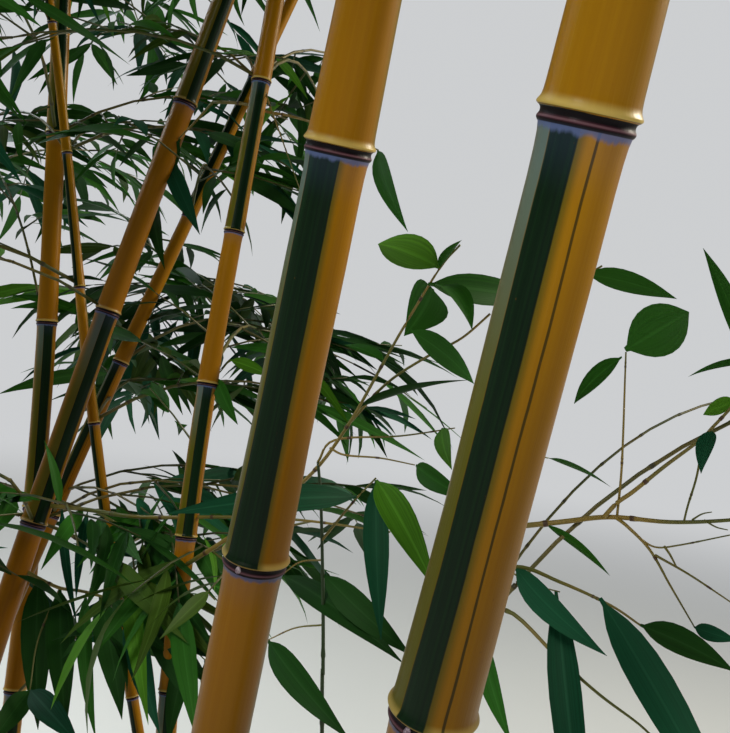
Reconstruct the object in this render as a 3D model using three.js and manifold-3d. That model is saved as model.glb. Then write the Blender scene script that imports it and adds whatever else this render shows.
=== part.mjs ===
// Potted golden bamboo: eleven canes that rise from one clump in a plain clay pot, each with its
// side branches and leaves. Millimetres, +Z up, origin under the middle of the pot's flat base.
import * as THREE from 'three';
import ManifoldModule from 'manifold-3d';

const wasm = await ManifoldModule();
wasm.setup();

const UP = new THREE.Vector3(0, 0, 1);

// Driving dimensions of the pot and its filling.
const POT_HEIGHT = 530;
const POT_BASE_RADIUS = 220;
const POT_TOP_RADIUS = 296;
const POT_WALL = 22;
const POT_FLOOR = 32;
const RIM_HEIGHT = 66;
const RIM_OVERHANG = 20;
const EDGE_BEVEL = 6;
const SOIL_TOP = 498;
const POT_SEGMENTS = 36;
const CLEARANCE = 0.3;

// Driving dimensions of the canes. Each one stands on its foot, passes its sight point at eye
// level with the stated lean (sideways travel for each unit of height), and bows out to its tip.
const EYE_LEVEL = 1200;
const BOW_POWER = 2.6;
const CANES = [
  {
    name: 'front_right', foot: [162, -182], sight: [250, -321], lean: [0.105, -0.2],
    tip: [440, -660, 3200], diameter: 32, sides: 10, node: 1036, internode: 246,
    lowest: 1750, side_masses: 3, reach: 620, turn: 1,
  },
  {
    name: 'front_middle', foot: [88, -120], sight: [161, -218], lean: [0.111, -0.15],
    tip: [250, -500, 3000], diameter: 28.5, sides: 10, node: 1067, internode: 206,
    lowest: 1650, side_masses: 3, reach: 540, turn: -1,
  },
  {
    name: 'front_left', foot: [-70, -170], sight: [-150, -300], lean: [-0.1, -0.17],
    tip: [-300, -560, 2850], diameter: 24, sides: 6, node: 1110, internode: 205,
    lowest: 1450, side_masses: 2, reach: 540, turn: 1,
  },
  {
    name: 'left', foot: [-215, -40], sight: [-330, -60], lean: [-0.15, -0.03],
    tip: [-580, -110, 2800], diameter: 26, sides: 8, node: 1090, internode: 215,
    lowest: 1150, side_masses: 3, reach: 560, turn: -1,
  },
  {
    name: 'back_left', foot: [-110, 205], sight: [-139, 346], lean: [-0.067, 0.1],
    tip: [-330, 560, 2850], diameter: 19, sides: 6, node: 1331, internode: 195,
    lowest: 1150, side_masses: 2, reach: 520, turn: 1,
  },
  {
    name: 'back_thin', foot: [118, 150], sight: [-88, 267], lean: [-0.198, 0.07],
    tip: [-330, 330, 1980], diameter: 9.5, sides: 6, node: 1180, internode: 125,
    lowest: 1400, side_masses: 1, reach: 400, turn: 1,
  },
  {
    name: 'back_middle', foot: [99, 10], sight: [68, 151], lean: [0.064, 0.16],
    tip: [20, 560, 2800], diameter: 15.5, sides: 6, node: 1241, internode: 129,
    lowest: 960, side_masses: 2, reach: 520, turn: 1,
  },
  {
    name: 'back_slanting', foot: [-205, 100], sight: [-20, 323], lean: [0.322, 0.206],
    tip: [290, 560, 2150], diameter: 14, sides: 6, node: 1260, internode: 150,
    lowest: 1500, side_masses: 1, reach: 420, turn: 1,
  },
  {
    name: 'back_crossing', foot: [-153, 60], sight: [-42, 255], lean: [0.23, 0.175],
    tip: [425, 540, 3050], diameter: 21, sides: 8, node: 1362, internode: 206,
    lowest: 790, side_masses: 3, reach: 560, turn: -1,
  },
  {
    name: 'right_slim', foot: [212, -105], sight: [293, -66], lean: [0.152, 0.159],
    tip: [600, -60, 2550], diameter: 16, sides: 6, node: 1010, internode: 165,
    lowest: 1000, side_masses: 1, reach: 460, turn: 1,
  },
  {
    name: 'right', foot: [225, 72], sight: [341, 227], lean: [0.162, 0.221],
    tip: [700, 300, 2750], diameter: 24, sides: 6, node: 1120, internode: 205,
    lowest: 1000, side_masses: 3, reach: 540, turn: 1,
  },
];

// A cane thins towards its tip, flares a little at its foot and steps out at each node. Its
// internodes are longest part way up.
const TIP_SHARE = 0.16;
const TAPER_POWER = 2.5;
const FLARE_SHARE = 0.12;
const FLARE_HEIGHT = 60;
const NODE_SWELL = 1.12;
const NODE_STEP = 5;
const INTERNODE_PEAK = 0.42;
const INTERNODE_SPREAD = 0.8;
const LAST_NODE_GAP = 40;
const FIRST_NODE_GAP = 60;
const SLOPE_STEP = 2;

// A mass of leaves: one arching stem, twigs to both sides of it, and leaves along the twigs.
// Starts and bows are shares of the reach, outward and upward.
const SIDE_MASS_SPAN = 0.9;
const REACH_LOSS = 0.3;
const BRANCH_SPREAD = 50;
const HEADING_STEPS = [0, 10, -10, 20, -20, 30, -30, 40, -40];
const ROOM_CHECKS = [0.25, 0.4, 0.55, 0.7, 0.85, 1];
const CANE_ROOM = 2;
const SIDE_START = { out: 0.52, up: 0.86 };
const SIDE_BOW = { out: 0.26, up: -0.46 };
const TOP_REACH_SHARE = 0.62;
const TOP_BOW = { out: 0.3, up: -0.28 };
const STEM_RADIUS = 5;
const STEM_TO_CANE = 0.7;
const STEM_TIP_RADIUS = 3.2;
const STEM_STATIONS = [0, 0.05, 0.38, 0.7, 1];

// Twigs: where they leave the stem, and the range of each random turn about its middle value.
const TWIG_PLACES = [0.3, 0.52, 0.74];
const TWIG_SIDES = 3;
const TWIG_RADIUS = 3.4;
const TWIG_TIP_RADIUS = 2.8;
const TWIG_ANGLE = { middle: 52, range: 16 };
const TWIG_RISE = { middle: 0.11, range: 1.1 };
const TWIG_REACH = { middle: 1, range: 0.3 };
const TWIG_SHARE = { root: 0.46, loss: 0.19 };

// Leaves: each pair is a place along the twig or stem, and the side that the leaf leans to.
const TWIG_LEAVES = [[0.42, 1], [0.62, -1], [0.8, 1], [0.95, -1]];
const STEM_LEAVES = [[0.86, 1], [0.94, -1], [0.985, 1]];
const LEAF_LENGTH = 235;
const LEAF_WIDTH = 42;
const LEAF_THICKNESS = 3;
const LEAF_ROOT = 2;
const WIDEST_SHARE = 0.4;
const THICKEST_SHARE = 0.15;
const LEAF_ANGLE = { middle: 42, range: 20 };
const LEAF_DROOP = { middle: 0.5, range: 0.5 };
const LEAF_ROLL = { middle: 0, range: 130 };
const LEAF_REACH = { middle: 1, range: 0.4 };

// Leaves and twigs keep to their mass's own space, clear of the canes and of one another.
const TRIES = 8;
const PATH_STEP = 12;
const SPACE_MARGIN = 4;
const LIMB_MARGIN = 4;
const TIP_CLEARANCE = 20;
const LEAF_GAP = 12;
const LEAF_CHECKS = [0.35, 0.5, 0.65, 0.8, 1];
const FIRST_SEED = 1201;
const SMOOTH_STEP = 0.2;

const COLOURS = {
  clay: 0xa3623f,
  soil: 0x3a2a1e,
  cane: 0xb98a1e,
  leaf: 0x3f5f2a,
};

function material(colour, roughness) {
  return new THREE.MeshStandardMaterial({ color: colour, roughness, metalness: 0 });
}

// The same seed always gives the same run of numbers between 0 and 1.
function seededNumbers(seed) {
  let state = seed;
  return () => {
    state = (state * 16807) % 2147483647;
    return state / 2147483647;
  };
}

function vary({ middle, range }, random) {
  return middle + range * (random() - 0.5);
}

function outAndUp(outward, { out, up }) {
  return outward.clone().multiplyScalar(out).addScaledVector(UP, up);
}

function radians(degrees) {
  return degrees * Math.PI / 180;
}

function compass(angle) {
  return new THREE.Vector3(Math.cos(angle), Math.sin(angle), 0);
}

// A closed solid through round sections, each with a centre, a radius and the way it faces.
function sweep(sections, sides, reference) {
  const positions = [];
  for (const { centre, radius, along } of sections) {
    const across = reference.clone().addScaledVector(along, -reference.dot(along)).normalize();
    const upward = new THREE.Vector3().crossVectors(along, across);
    for (let side = 0; side < sides; side += 1) {
      const turn = 2 * Math.PI * side / sides;
      const corner = centre.clone()
        .addScaledVector(across, radius * Math.cos(turn))
        .addScaledVector(upward, radius * Math.sin(turn));
      positions.push(corner.x, corner.y, corner.z);
    }
  }
  const faces = [];
  for (let ring = 0; ring + 1 < sections.length; ring += 1) {
    for (let side = 0; side < sides; side += 1) {
      const here = ring * sides + side;
      const beside = ring * sides + (side + 1) % sides;
      faces.push(here, beside, beside + sides, here, beside + sides, here + sides);
    }
  }
  const last = (sections.length - 1) * sides;
  for (let side = 1; side + 1 < sides; side += 1) {
    faces.push(0, side + 1, side);
    faces.push(last, last + side, last + side + 1);
  }
  const geometry = new THREE.BufferGeometry();
  geometry.setAttribute('position', new THREE.Float32BufferAttribute(positions, 3));
  geometry.setIndex(faces);
  return geometry;
}

// How far up the cane a height lies, from 0 at the foot to 1 at the tip.
function shareOfHeight(cane, height) {
  return (height - SOIL_TOP) / (cane.tip[2] - SOIL_TOP);
}

// The middle of the cane at a height: a parabola from foot to sight point, and above it the
// straight lean plus a bow that grows towards the tip.
function canePoint(cane, height) {
  const rise = height - EYE_LEVEL;
  const drop = SOIL_TOP - EYE_LEVEL;
  const climb = cane.tip[2] - EYE_LEVEL;
  const place = [0, 1].map((axis) => {
    const straight = cane.sight[axis] + cane.lean[axis] * rise;
    if (rise <= 0) {
      const bend = cane.foot[axis] - cane.sight[axis] - cane.lean[axis] * drop;
      return straight + bend * (rise / drop) ** 2;
    }
    const bow = cane.tip[axis] - cane.sight[axis] - cane.lean[axis] * climb;
    return straight + bow * (rise / climb) ** BOW_POWER;
  });
  return new THREE.Vector3(place[0], place[1], height);
}

function caneDirection(cane, height) {
  const above = canePoint(cane, Math.min(height + SLOPE_STEP, cane.tip[2]));
  const below = canePoint(cane, Math.max(height - SLOPE_STEP, SOIL_TOP));
  return above.sub(below).normalize();
}

function caneTaper(share) {
  return 1 - (1 - TIP_SHARE) * share ** TAPER_POWER;
}

function caneRadius(cane, height) {
  const atSight = caneTaper(shareOfHeight(cane, EYE_LEVEL));
  const flare = 1 + FLARE_SHARE * Math.exp(-(height - SOIL_TOP) / FLARE_HEIGHT);
  return cane.diameter / 2 * flare * caneTaper(shareOfHeight(cane, height)) / atSight;
}

function internodeLength(cane, height) {
  const offset = (shareOfHeight(cane, height) - INTERNODE_PEAK) / INTERNODE_SPREAD;
  return cane.internode * (1 - offset * offset);
}

// Node heights run up and down from the one node whose height is stated.
function nodeHeights(cane) {
  const heights = [cane.node];
  let height = cane.node;
  while (height + internodeLength(cane, height) < cane.tip[2] - LAST_NODE_GAP) {
    height += internodeLength(cane, height + internodeLength(cane, height) / 2);
    heights.push(height);
  }
  height = cane.node;
  while (height - internodeLength(cane, height) > SOIL_TOP + FIRST_NODE_GAP) {
    height -= internodeLength(cane, height - internodeLength(cane, height) / 2);
    heights.unshift(height);
  }
  return heights;
}

function caneGeometry(cane) {
  const sections = [{ height: SOIL_TOP + CLEARANCE, swell: 1 }];
  for (const height of nodeHeights(cane)) {
    sections.push({ height: height - NODE_STEP, swell: 1 });
    sections.push({ height, swell: NODE_SWELL });
  }
  sections.push({ height: cane.tip[2], swell: 1 });
  const rings = sections.map(({ height, swell }, index) => ({
    centre: canePoint(cane, height),
    radius: caneRadius(cane, height) * swell,
    along: index === 0 ? UP : caneDirection(cane, height),
  }));
  return sweep(rings, cane.sides, new THREE.Vector3(1, 0, 0));
}

// The stem of a mass: start + reach * (first * t + second * t * t), for t from 0 to 1.
function stemPoint(mass, share) {
  return mass.start.clone()
    .addScaledVector(mass.first, mass.reach * share)
    .addScaledVector(mass.second, mass.reach * share * share);
}

// The same point on the stem as it is built, which runs straight between its stations.
function linePoint(mass, share) {
  const after = STEM_STATIONS.findIndex((station) => station >= share);
  const [low, high] = [STEM_STATIONS[after - 1], STEM_STATIONS[after]];
  return mass.line[after - 1].clone().lerp(mass.line[after], (share - low) / (high - low));
}

function stemDirection(mass, share) {
  return mass.first.clone().addScaledVector(mass.second, 2 * share).normalize();
}

// The way a cane leans out from the middle of the clump, as a compass angle.
function outwardAngle(cane) {
  return Math.atan2(cane.tip[1], cane.tip[0]);
}

function nearestNode(cane, height) {
  return nodeHeights(cane).reduce((best, node) => (
    Math.abs(node - height) < Math.abs(best - height) ? node : best));
}

function withLine(mass) {
  return { ...mass, line: STEM_STATIONS.map((share) => stemPoint(mass, share)) };
}

// How far a node's ring of flats reaches towards a compass heading.
function flatReach(cane, height, heading) {
  const corners = Array.from({ length: cane.sides }, (_, side) => (
    Math.cos(heading - 2 * Math.PI * side / cane.sides)));
  return caneRadius(cane, height) * NODE_SWELL * Math.max(...corners);
}

// A side mass leaves its cane at a node, a hair clear of it, and arches up and out.
function sideMass(cane, tier, heading) {
  const top = SOIL_TOP + SIDE_MASS_SPAN * (cane.tip[2] - SOIL_TOP);
  const share = cane.side_masses === 1 ? 0 : tier / (cane.side_masses - 1);
  const height = nearestNode(cane, cane.lowest + share * (top - cane.lowest));
  const outward = compass(heading);
  const along = caneDirection(cane, height);
  const facing = outward.clone().addScaledVector(along, -outward.dot(along)).normalize();
  const gap = flatReach(cane, height, heading) + CLEARANCE;
  return withLine({
    name: `leaves_${cane.name}_${tier + 1}`,
    start: canePoint(cane, height).addScaledVector(facing, gap),
    facing,
    outward,
    first: outAndUp(outward, SIDE_START),
    second: outAndUp(outward, SIDE_BOW),
    reach: cane.reach * (1 - REACH_LOSS * share),
    radius: Math.min(STEM_RADIUS, STEM_TO_CANE * caneRadius(cane, height)),
  });
}

// The top mass carries the cane's line on and nods outward.
function topMass(cane) {
  const height = cane.tip[2];
  const facing = caneDirection(cane, height);
  const outward = compass(outwardAngle(cane));
  return withLine({
    name: `leaves_${cane.name}_top`,
    start: canePoint(cane, height).addScaledVector(facing, CLEARANCE),
    facing,
    outward,
    first: facing.clone(),
    second: outAndUp(outward, TOP_BOW),
    reach: cane.reach * TOP_REACH_SHARE,
    radius: Math.min(STEM_RADIUS, caneRadius(cane, height)),
  });
}

// The room round a stem: how far its outer half keeps from the stems and canes placed so far.
function roomRound(mass, placed) {
  const points = ROOM_CHECKS.map((share) => linePoint(mass, share));
  const toStems = points.flatMap((point) => placed.map((other) => distanceToStem(point, other)));
  const toCanes = points.flatMap((point) => CANES.map((cane) => (
    point.z > cane.tip[2] ? Infinity : CANE_ROOM * canePoint(cane, point.z).distanceTo(point))));
  return Math.min(...toStems, ...toCanes);
}

// Side masses take turns on the two sides of their cane, each where it has the most room.
function roomiestSideMass(cane, tier, placed) {
  const side = cane.turn * (tier % 2 === 0 ? 1 : -1);
  const middle = outwardAngle(cane) + side * radians(BRANCH_SPREAD);
  const choices = HEADING_STEPS.map((step) => sideMass(cane, tier, middle + radians(step)));
  return choices.reduce((best, choice) => (
    roomRound(choice, placed) > roomRound(best, placed) ? choice : best));
}

function allMasses() {
  const placed = CANES.map(topMass);
  for (const cane of CANES) {
    for (let tier = 0; tier < cane.side_masses; tier += 1) {
      placed.push(roomiestSideMass(cane, tier, placed));
    }
  }
  return placed;
}

function distanceToSegment(point, from, to) {
  const run = to.clone().sub(from);
  const share = point.clone().sub(from).dot(run) / run.lengthSq();
  return point.distanceTo(from.clone().addScaledVector(run, Math.min(1, Math.max(0, share))));
}

function distanceToStem(point, mass) {
  let nearest = Infinity;
  for (let index = 0; index + 1 < mass.line.length; index += 1) {
    nearest = Math.min(nearest, distanceToSegment(point, mass.line[index], mass.line[index + 1]));
  }
  return nearest;
}

// A point is in a mass's own space when the mass's stem is the nearest of all stems.
function inOwnSpace(point, mass, masses) {
  const own = distanceToStem(point, mass);
  return masses.every((other) => (
    other === mass || distanceToStem(point, other) > own + SPACE_MARGIN));
}

function clearOfCanes(point, thickness) {
  return CANES.every((cane) => {
    if (point.z > cane.tip[2] + TIP_CLEARANCE) {
      return true;
    }
    const height = Math.min(point.z, cane.tip[2]);
    const allowed = caneRadius(cane, height) * NODE_SWELL + thickness + LIMB_MARGIN;
    return canePoint(cane, height).distanceTo(point) > allowed;
  });
}

function pathIsFree(from, to, thickness, mass, masses) {
  const steps = Math.ceil(from.distanceTo(to) / PATH_STEP);
  for (let step = 1; step <= steps; step += 1) {
    const point = from.clone().lerp(to, step / steps);
    if (!inOwnSpace(point, mass, masses) || !clearOfCanes(point, thickness)) {
      return false;
    }
  }
  return true;
}

// A twig leaves the stem to one side, in a plane that is tilted a little at random.
function twigRun(mass, share, side, random) {
  const along = stemDirection(mass, share);
  const sideways = new THREE.Vector3().crossVectors(UP, mass.outward).multiplyScalar(side);
  const angle = radians(vary(TWIG_ANGLE, random));
  const direction = along.multiplyScalar(Math.cos(angle))
    .addScaledVector(sideways, Math.sin(angle))
    .addScaledVector(UP, vary(TWIG_RISE, random))
    .normalize();
  const full = mass.reach * (TWIG_SHARE.root - TWIG_SHARE.loss * share);
  const from = linePoint(mass, share);
  const to = from.clone().addScaledVector(direction, full * vary(TWIG_REACH, random));
  return { from, to, direction };
}

function twigGeometry(run) {
  const sections = [
    { centre: run.from, radius: TWIG_RADIUS, along: run.direction },
    { centre: run.to, radius: TWIG_TIP_RADIUS, along: run.direction },
  ];
  return sweep(sections, TWIG_SIDES, UP);
}

// A leaf springs from a point on its twig, leans away from it, droops and rolls.
function leafPose(point, along, side, random) {
  const sideways = new THREE.Vector3().crossVectors(UP, along).normalize();
  const angle = side * radians(vary(LEAF_ANGLE, random));
  const direction = along.clone().multiplyScalar(Math.cos(angle))
    .addScaledVector(sideways, Math.sin(angle))
    .addScaledVector(UP, -vary(LEAF_DROOP, random))
    .normalize();
  const level = new THREE.Vector3().crossVectors(UP, direction).normalize();
  const across = level.applyAxisAngle(direction, radians(vary(LEAF_ROLL, random)));
  const root = point.clone().addScaledVector(direction, -LEAF_ROOT);
  const tip = point.clone().addScaledVector(direction, LEAF_LENGTH * vary(LEAF_REACH, random));
  return { root, tip, across };
}

// The leaf is an octahedron drawn out from root to tip: widest before its middle, and thickest
// near the root, where it joins the twig.
function leafGeometry({ root, tip, across }) {
  const geometry = new THREE.OctahedronGeometry(1);
  const corners = geometry.getAttribute('position');
  for (let index = 0; index < corners.count; index += 1) {
    if (Math.abs(corners.getY(index)) > 0.5) {
      corners.setX(index, 2 * WIDEST_SHARE - 1);
    }
    if (Math.abs(corners.getZ(index)) > 0.5) {
      corners.setX(index, 2 * THICKEST_SHARE - 1);
    }
  }
  const half = tip.clone().sub(root).multiplyScalar(0.5);
  const thickness = new THREE.Vector3().crossVectors(half, across).normalize();
  const frame = new THREE.Matrix4().makeBasis(
    half,
    across.clone().multiplyScalar(LEAF_WIDTH / 2),
    thickness.multiplyScalar(LEAF_THICKNESS / 2),
  );
  frame.setPosition(root.clone().add(tip).multiplyScalar(0.5));
  geometry.applyMatrix4(frame);
  return geometry;
}

// Past its root a leaf crosses no other leaf or twig of its mass.
function clearOfNeighbours(pose, neighbours) {
  return LEAF_CHECKS.every((share) => {
    const point = pose.root.clone().lerp(pose.tip, share);
    return neighbours.every(({ from, to }) => distanceToSegment(point, from, to) > LEAF_GAP);
  });
}

function leafIsFree(pose, mass, masses, neighbours) {
  const middle = pose.root.clone().lerp(pose.tip, WIDEST_SHARE);
  const edges = [-0.5, 0.5].map((share) => (
    middle.clone().addScaledVector(pose.across, share * LEAF_WIDTH)));
  return pathIsFree(pose.root, pose.tip, LEAF_WIDTH / 2, mass, masses)
    && edges.every((edge) => inOwnSpace(edge, mass, masses))
    && clearOfNeighbours(pose, neighbours);
}

// The stem's first section lies flat against its cane, a hair clear of it.
function stemGeometry(mass) {
  const sections = STEM_STATIONS.map((share) => ({
    centre: stemPoint(mass, share),
    radius: THREE.MathUtils.lerp(mass.radius, Math.min(mass.radius, STEM_TIP_RADIUS), share),
    along: share === 0 ? mass.facing : stemDirection(mass, share),
  }));
  return sweep(sections, TWIG_SIDES, new THREE.Vector3().crossVectors(mass.outward, UP));
}

// Corners that lie together are merged, and faces that shrink to nothing at an axis are dropped.
function toSolid(geometry) {
  const numbers = new Map();
  const vertices = [];
  const faces = [];
  const positions = geometry.getAttribute('position');
  const order = geometry.index ? [...geometry.index.array] : [...Array(positions.count).keys()];
  const merged = order.map((index) => {
    const corner = [positions.getX(index), positions.getY(index), positions.getZ(index)];
    const place = corner.map((value) => value.toFixed(3)).join(' ').replaceAll('-0.000', '0.000');
    if (!numbers.has(place)) {
      numbers.set(place, numbers.size);
      vertices.push(...corner);
    }
    return numbers.get(place);
  });
  for (let start = 0; start < merged.length; start += 3) {
    const face = merged.slice(start, start + 3);
    if (new Set(face).size === 3) {
      faces.push(...face);
    }
  }
  return new wasm.Manifold(new wasm.Mesh({
    numProp: 3,
    vertProperties: new Float32Array(vertices),
    triVerts: new Uint32Array(faces),
  }));
}

function fromSolid(solid) {
  const mesh = solid.getMesh();
  const geometry = new THREE.BufferGeometry();
  geometry.setAttribute('position', new THREE.BufferAttribute(mesh.vertProperties, 3));
  geometry.setIndex(new THREE.BufferAttribute(mesh.triVerts, 1));
  return geometry;
}

// Joins the pieces and keeps the largest body, which drops loose scraps and sealed hollows.
function fuse(geometries) {
  const joined = geometries.map(toSolid).reduce((whole, piece) => whole.add(piece));
  const bodies = joined.asOriginal().simplify(SMOOTH_STEP).decompose();
  return bodies.reduce((best, body) => (body.volume() > best.volume() ? body : best));
}

// Makes a free shape by up to so many tries, or none.
function firstFree(make, isFree) {
  for (let turn = 0; turn < TRIES; turn += 1) {
    const made = make();
    if (isFree(made)) {
      return made;
    }
  }
  return null;
}

function massGeometry(mass, masses, seed) {
  const random = seededNumbers(seed);
  const pieces = [stemGeometry(mass)];
  const neighbours = [];
  const addLeaf = (point, along, side) => {
    const pose = firstFree(
      () => leafPose(point, along, side, random),
      (made) => leafIsFree(made, mass, masses, neighbours),
    );
    if (pose) {
      pieces.push(leafGeometry(pose));
      neighbours.push({ from: pose.root, to: pose.tip });
    }
  };
  TWIG_PLACES.forEach((share, index) => {
    const run = firstFree(
      () => twigRun(mass, share, index % 2 === 0 ? 1 : -1, random),
      (made) => pathIsFree(made.from, made.to, TWIG_RADIUS, mass, masses),
    );
    if (run) {
      pieces.push(twigGeometry(run));
      neighbours.push(run);
      for (const [place, side] of TWIG_LEAVES) {
        addLeaf(run.from.clone().lerp(run.to, place), run.direction, side);
      }
    }
  });
  for (const [place, side] of STEM_LEAVES) {
    addLeaf(linePoint(mass, place), stemDirection(mass, place), side);
  }
  return fromSolid(fuse(pieces));
}

// Half of the pot's section, from the middle of its underside round to the middle of its floor.
function potGeometry() {
  const rimFoot = POT_HEIGHT - RIM_HEIGHT;
  const slope = (POT_TOP_RADIUS - POT_BASE_RADIUS) / POT_HEIGHT;
  const outer = (height) => POT_BASE_RADIUS + slope * height;
  const rimRadius = POT_TOP_RADIUS + RIM_OVERHANG;
  const profile = [
    [0, 0],
    [POT_BASE_RADIUS - EDGE_BEVEL, 0],
    [outer(EDGE_BEVEL), EDGE_BEVEL],
    [outer(rimFoot), rimFoot],
    [rimRadius - EDGE_BEVEL, rimFoot],
    [rimRadius, rimFoot + EDGE_BEVEL],
    [rimRadius, POT_HEIGHT - EDGE_BEVEL],
    [rimRadius - EDGE_BEVEL, POT_HEIGHT],
    [outer(POT_HEIGHT) - POT_WALL + EDGE_BEVEL, POT_HEIGHT],
    [outer(POT_HEIGHT) - POT_WALL, POT_HEIGHT - EDGE_BEVEL],
    [outer(POT_FLOOR) - POT_WALL, POT_FLOOR],
    [0, POT_FLOOR],
  ];
  return lathe(profile);
}

function soilGeometry() {
  const slope = (POT_TOP_RADIUS - POT_BASE_RADIUS) / POT_HEIGHT;
  const inner = (height) => POT_BASE_RADIUS + slope * height - POT_WALL - 2 * CLEARANCE;
  const bottom = POT_FLOOR + CLEARANCE;
  return lathe([[0, bottom], [inner(bottom), bottom], [inner(SOIL_TOP), SOIL_TOP], [0, SOIL_TOP]]);
}

function lathe(profile) {
  const points = profile.map(([radius, height]) => new THREE.Vector2(radius, height));
  const geometry = new THREE.LatheGeometry(points, POT_SEGMENTS);
  geometry.rotateX(Math.PI / 2);
  return fromSolid(toSolid(geometry));
}

function build() {
  const plant = new THREE.Group();
  const clay = material(COLOURS.clay, 0.85);
  const soil = material(COLOURS.soil, 0.95);
  const caneSkin = material(COLOURS.cane, 0.4);
  const leafSkin = material(COLOURS.leaf, 0.55);
  const addPiece = (name, geometry, skin) => {
    const piece = new THREE.Mesh(geometry, skin);
    piece.name = name;
    plant.add(piece);
  };
  addPiece('pot', potGeometry(), clay);
  addPiece('soil', soilGeometry(), soil);
  for (const cane of CANES) {
    addPiece(`cane_${cane.name}`, caneGeometry(cane), caneSkin);
  }
  const masses = allMasses();
  masses.forEach((mass, index) => {
    addPiece(mass.name, massGeometry(mass, masses, FIRST_SEED + index), leafSkin);
  });
  return plant;
}

export default build();
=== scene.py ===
"""Potted golden bamboo: ringed yellow canes with green grooves, twigs and narrow leaves in a clay pot.

The plant's rule works in millimetres. Meshes are made in metres, in the frame of the CAD part.
"""
import math
from collections import namedtuple

import bpy
import numpy as np
from mathutils import Matrix, Vector


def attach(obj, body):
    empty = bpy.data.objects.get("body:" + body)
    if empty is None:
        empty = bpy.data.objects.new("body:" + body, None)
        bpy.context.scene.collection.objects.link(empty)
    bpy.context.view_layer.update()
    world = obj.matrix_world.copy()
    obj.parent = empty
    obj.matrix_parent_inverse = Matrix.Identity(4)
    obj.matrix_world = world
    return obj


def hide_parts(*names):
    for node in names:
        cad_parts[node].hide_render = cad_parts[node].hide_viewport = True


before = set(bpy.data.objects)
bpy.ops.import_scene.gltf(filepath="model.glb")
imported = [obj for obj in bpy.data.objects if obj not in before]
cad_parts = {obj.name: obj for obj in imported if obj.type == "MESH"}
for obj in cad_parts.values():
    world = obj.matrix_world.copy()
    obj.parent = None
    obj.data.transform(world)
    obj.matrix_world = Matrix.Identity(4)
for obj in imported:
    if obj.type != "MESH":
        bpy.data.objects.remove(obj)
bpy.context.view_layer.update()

MM = 0.001
FULL_TURN = 2 * math.pi
ALMOST_A_TURN = 6.28
UP = np.array([0.0, 0.0, 1.0])
EAST = np.array([1.0, 0.0, 0.0])

# The camera: where it stands, how it is turned in degrees, its lens, and the photograph's pixels.
CAMERA_PLACE = np.array([190.0, -690.0, 1200.0])
CAMERA_PITCH_DOWN = 4
CAMERA_ROLL = 6
LENS = 50
SENSOR = 36
PHOTO_WIDTH = 730
PHOTO_HEIGHT = 733

# The pot and its filling.
POT_HEIGHT = 530
POT_BASE_RADIUS = 220
POT_TOP_RADIUS = 296
POT_WALL = 22
RIM_HEIGHT = 66
RIM_OVERHANG = 20
SOIL_TOP = 498
CLEARANCE = 0.3

# The canes: foot, sight point at eye level, lean there, tip, and what grows on them.
EYE_LEVEL = 1200
BOW_POWER = 2.6
Cane = namedtuple(
    "Cane", "name foot sight lean tip diameter sides node internode lowest side_masses reach turn")
CANES = [
    Cane("front_right", (162, -182), (250, -321), (0.105, -0.2), (440, -660, 3200),
         32, 10, 1036, 246, 1750, 3, 620, 1),
    Cane("front_middle", (88, -120), (161, -218), (0.111, -0.15), (250, -500, 3000),
         28.5, 10, 1067, 206, 1650, 3, 540, -1),
    Cane("front_left", (-70, -170), (-150, -300), (-0.1, -0.17), (-300, -560, 2850),
         24, 6, 1110, 205, 1450, 2, 540, 1),
    Cane("left", (-215, -40), (-330, -60), (-0.15, -0.03), (-580, -110, 2800),
         26, 8, 1090, 215, 1150, 3, 560, -1),
    Cane("back_left", (-110, 205), (-139, 346), (-0.067, 0.1), (-330, 560, 2850),
         19, 6, 1331, 195, 1150, 2, 520, 1),
    Cane("back_thin", (118, 150), (-88, 267), (-0.198, 0.07), (-330, 330, 1980),
         9.5, 6, 1180, 125, 1400, 1, 400, 1),
    Cane("back_middle", (99, 10), (68, 151), (0.064, 0.16), (20, 560, 2800),
         15.5, 6, 1241, 129, 960, 2, 520, 1),
    Cane("back_slanting", (-205, 100), (-20, 323), (0.322, 0.206), (290, 560, 2150),
         14, 6, 1260, 150, 1500, 1, 420, 1),
    Cane("back_crossing", (-153, 60), (-42, 255), (0.23, 0.175), (425, 540, 3050),
         21, 8, 1362, 206, 790, 3, 560, -1),
    Cane("right_slim", (212, -105), (293, -66), (0.152, 0.159), (600, -60, 2550),
         16, 6, 1010, 165, 1000, 1, 460, 1),
    Cane("right", (225, 72), (341, 227), (0.162, 0.221), (700, 300, 2750),
         24, 6, 1120, 205, 1000, 3, 540, 1),
]
TIP_SHARE = 0.16
TAPER_POWER = 2.5
FLARE_SHARE = 0.12
FLARE_HEIGHT = 60
NODE_SWELL = 1.12
INTERNODE_PEAK = 0.42
INTERNODE_SPREAD = 0.8
LAST_NODE_GAP = 40
FIRST_NODE_GAP = 60
SLOPE_STEP = 2

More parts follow.
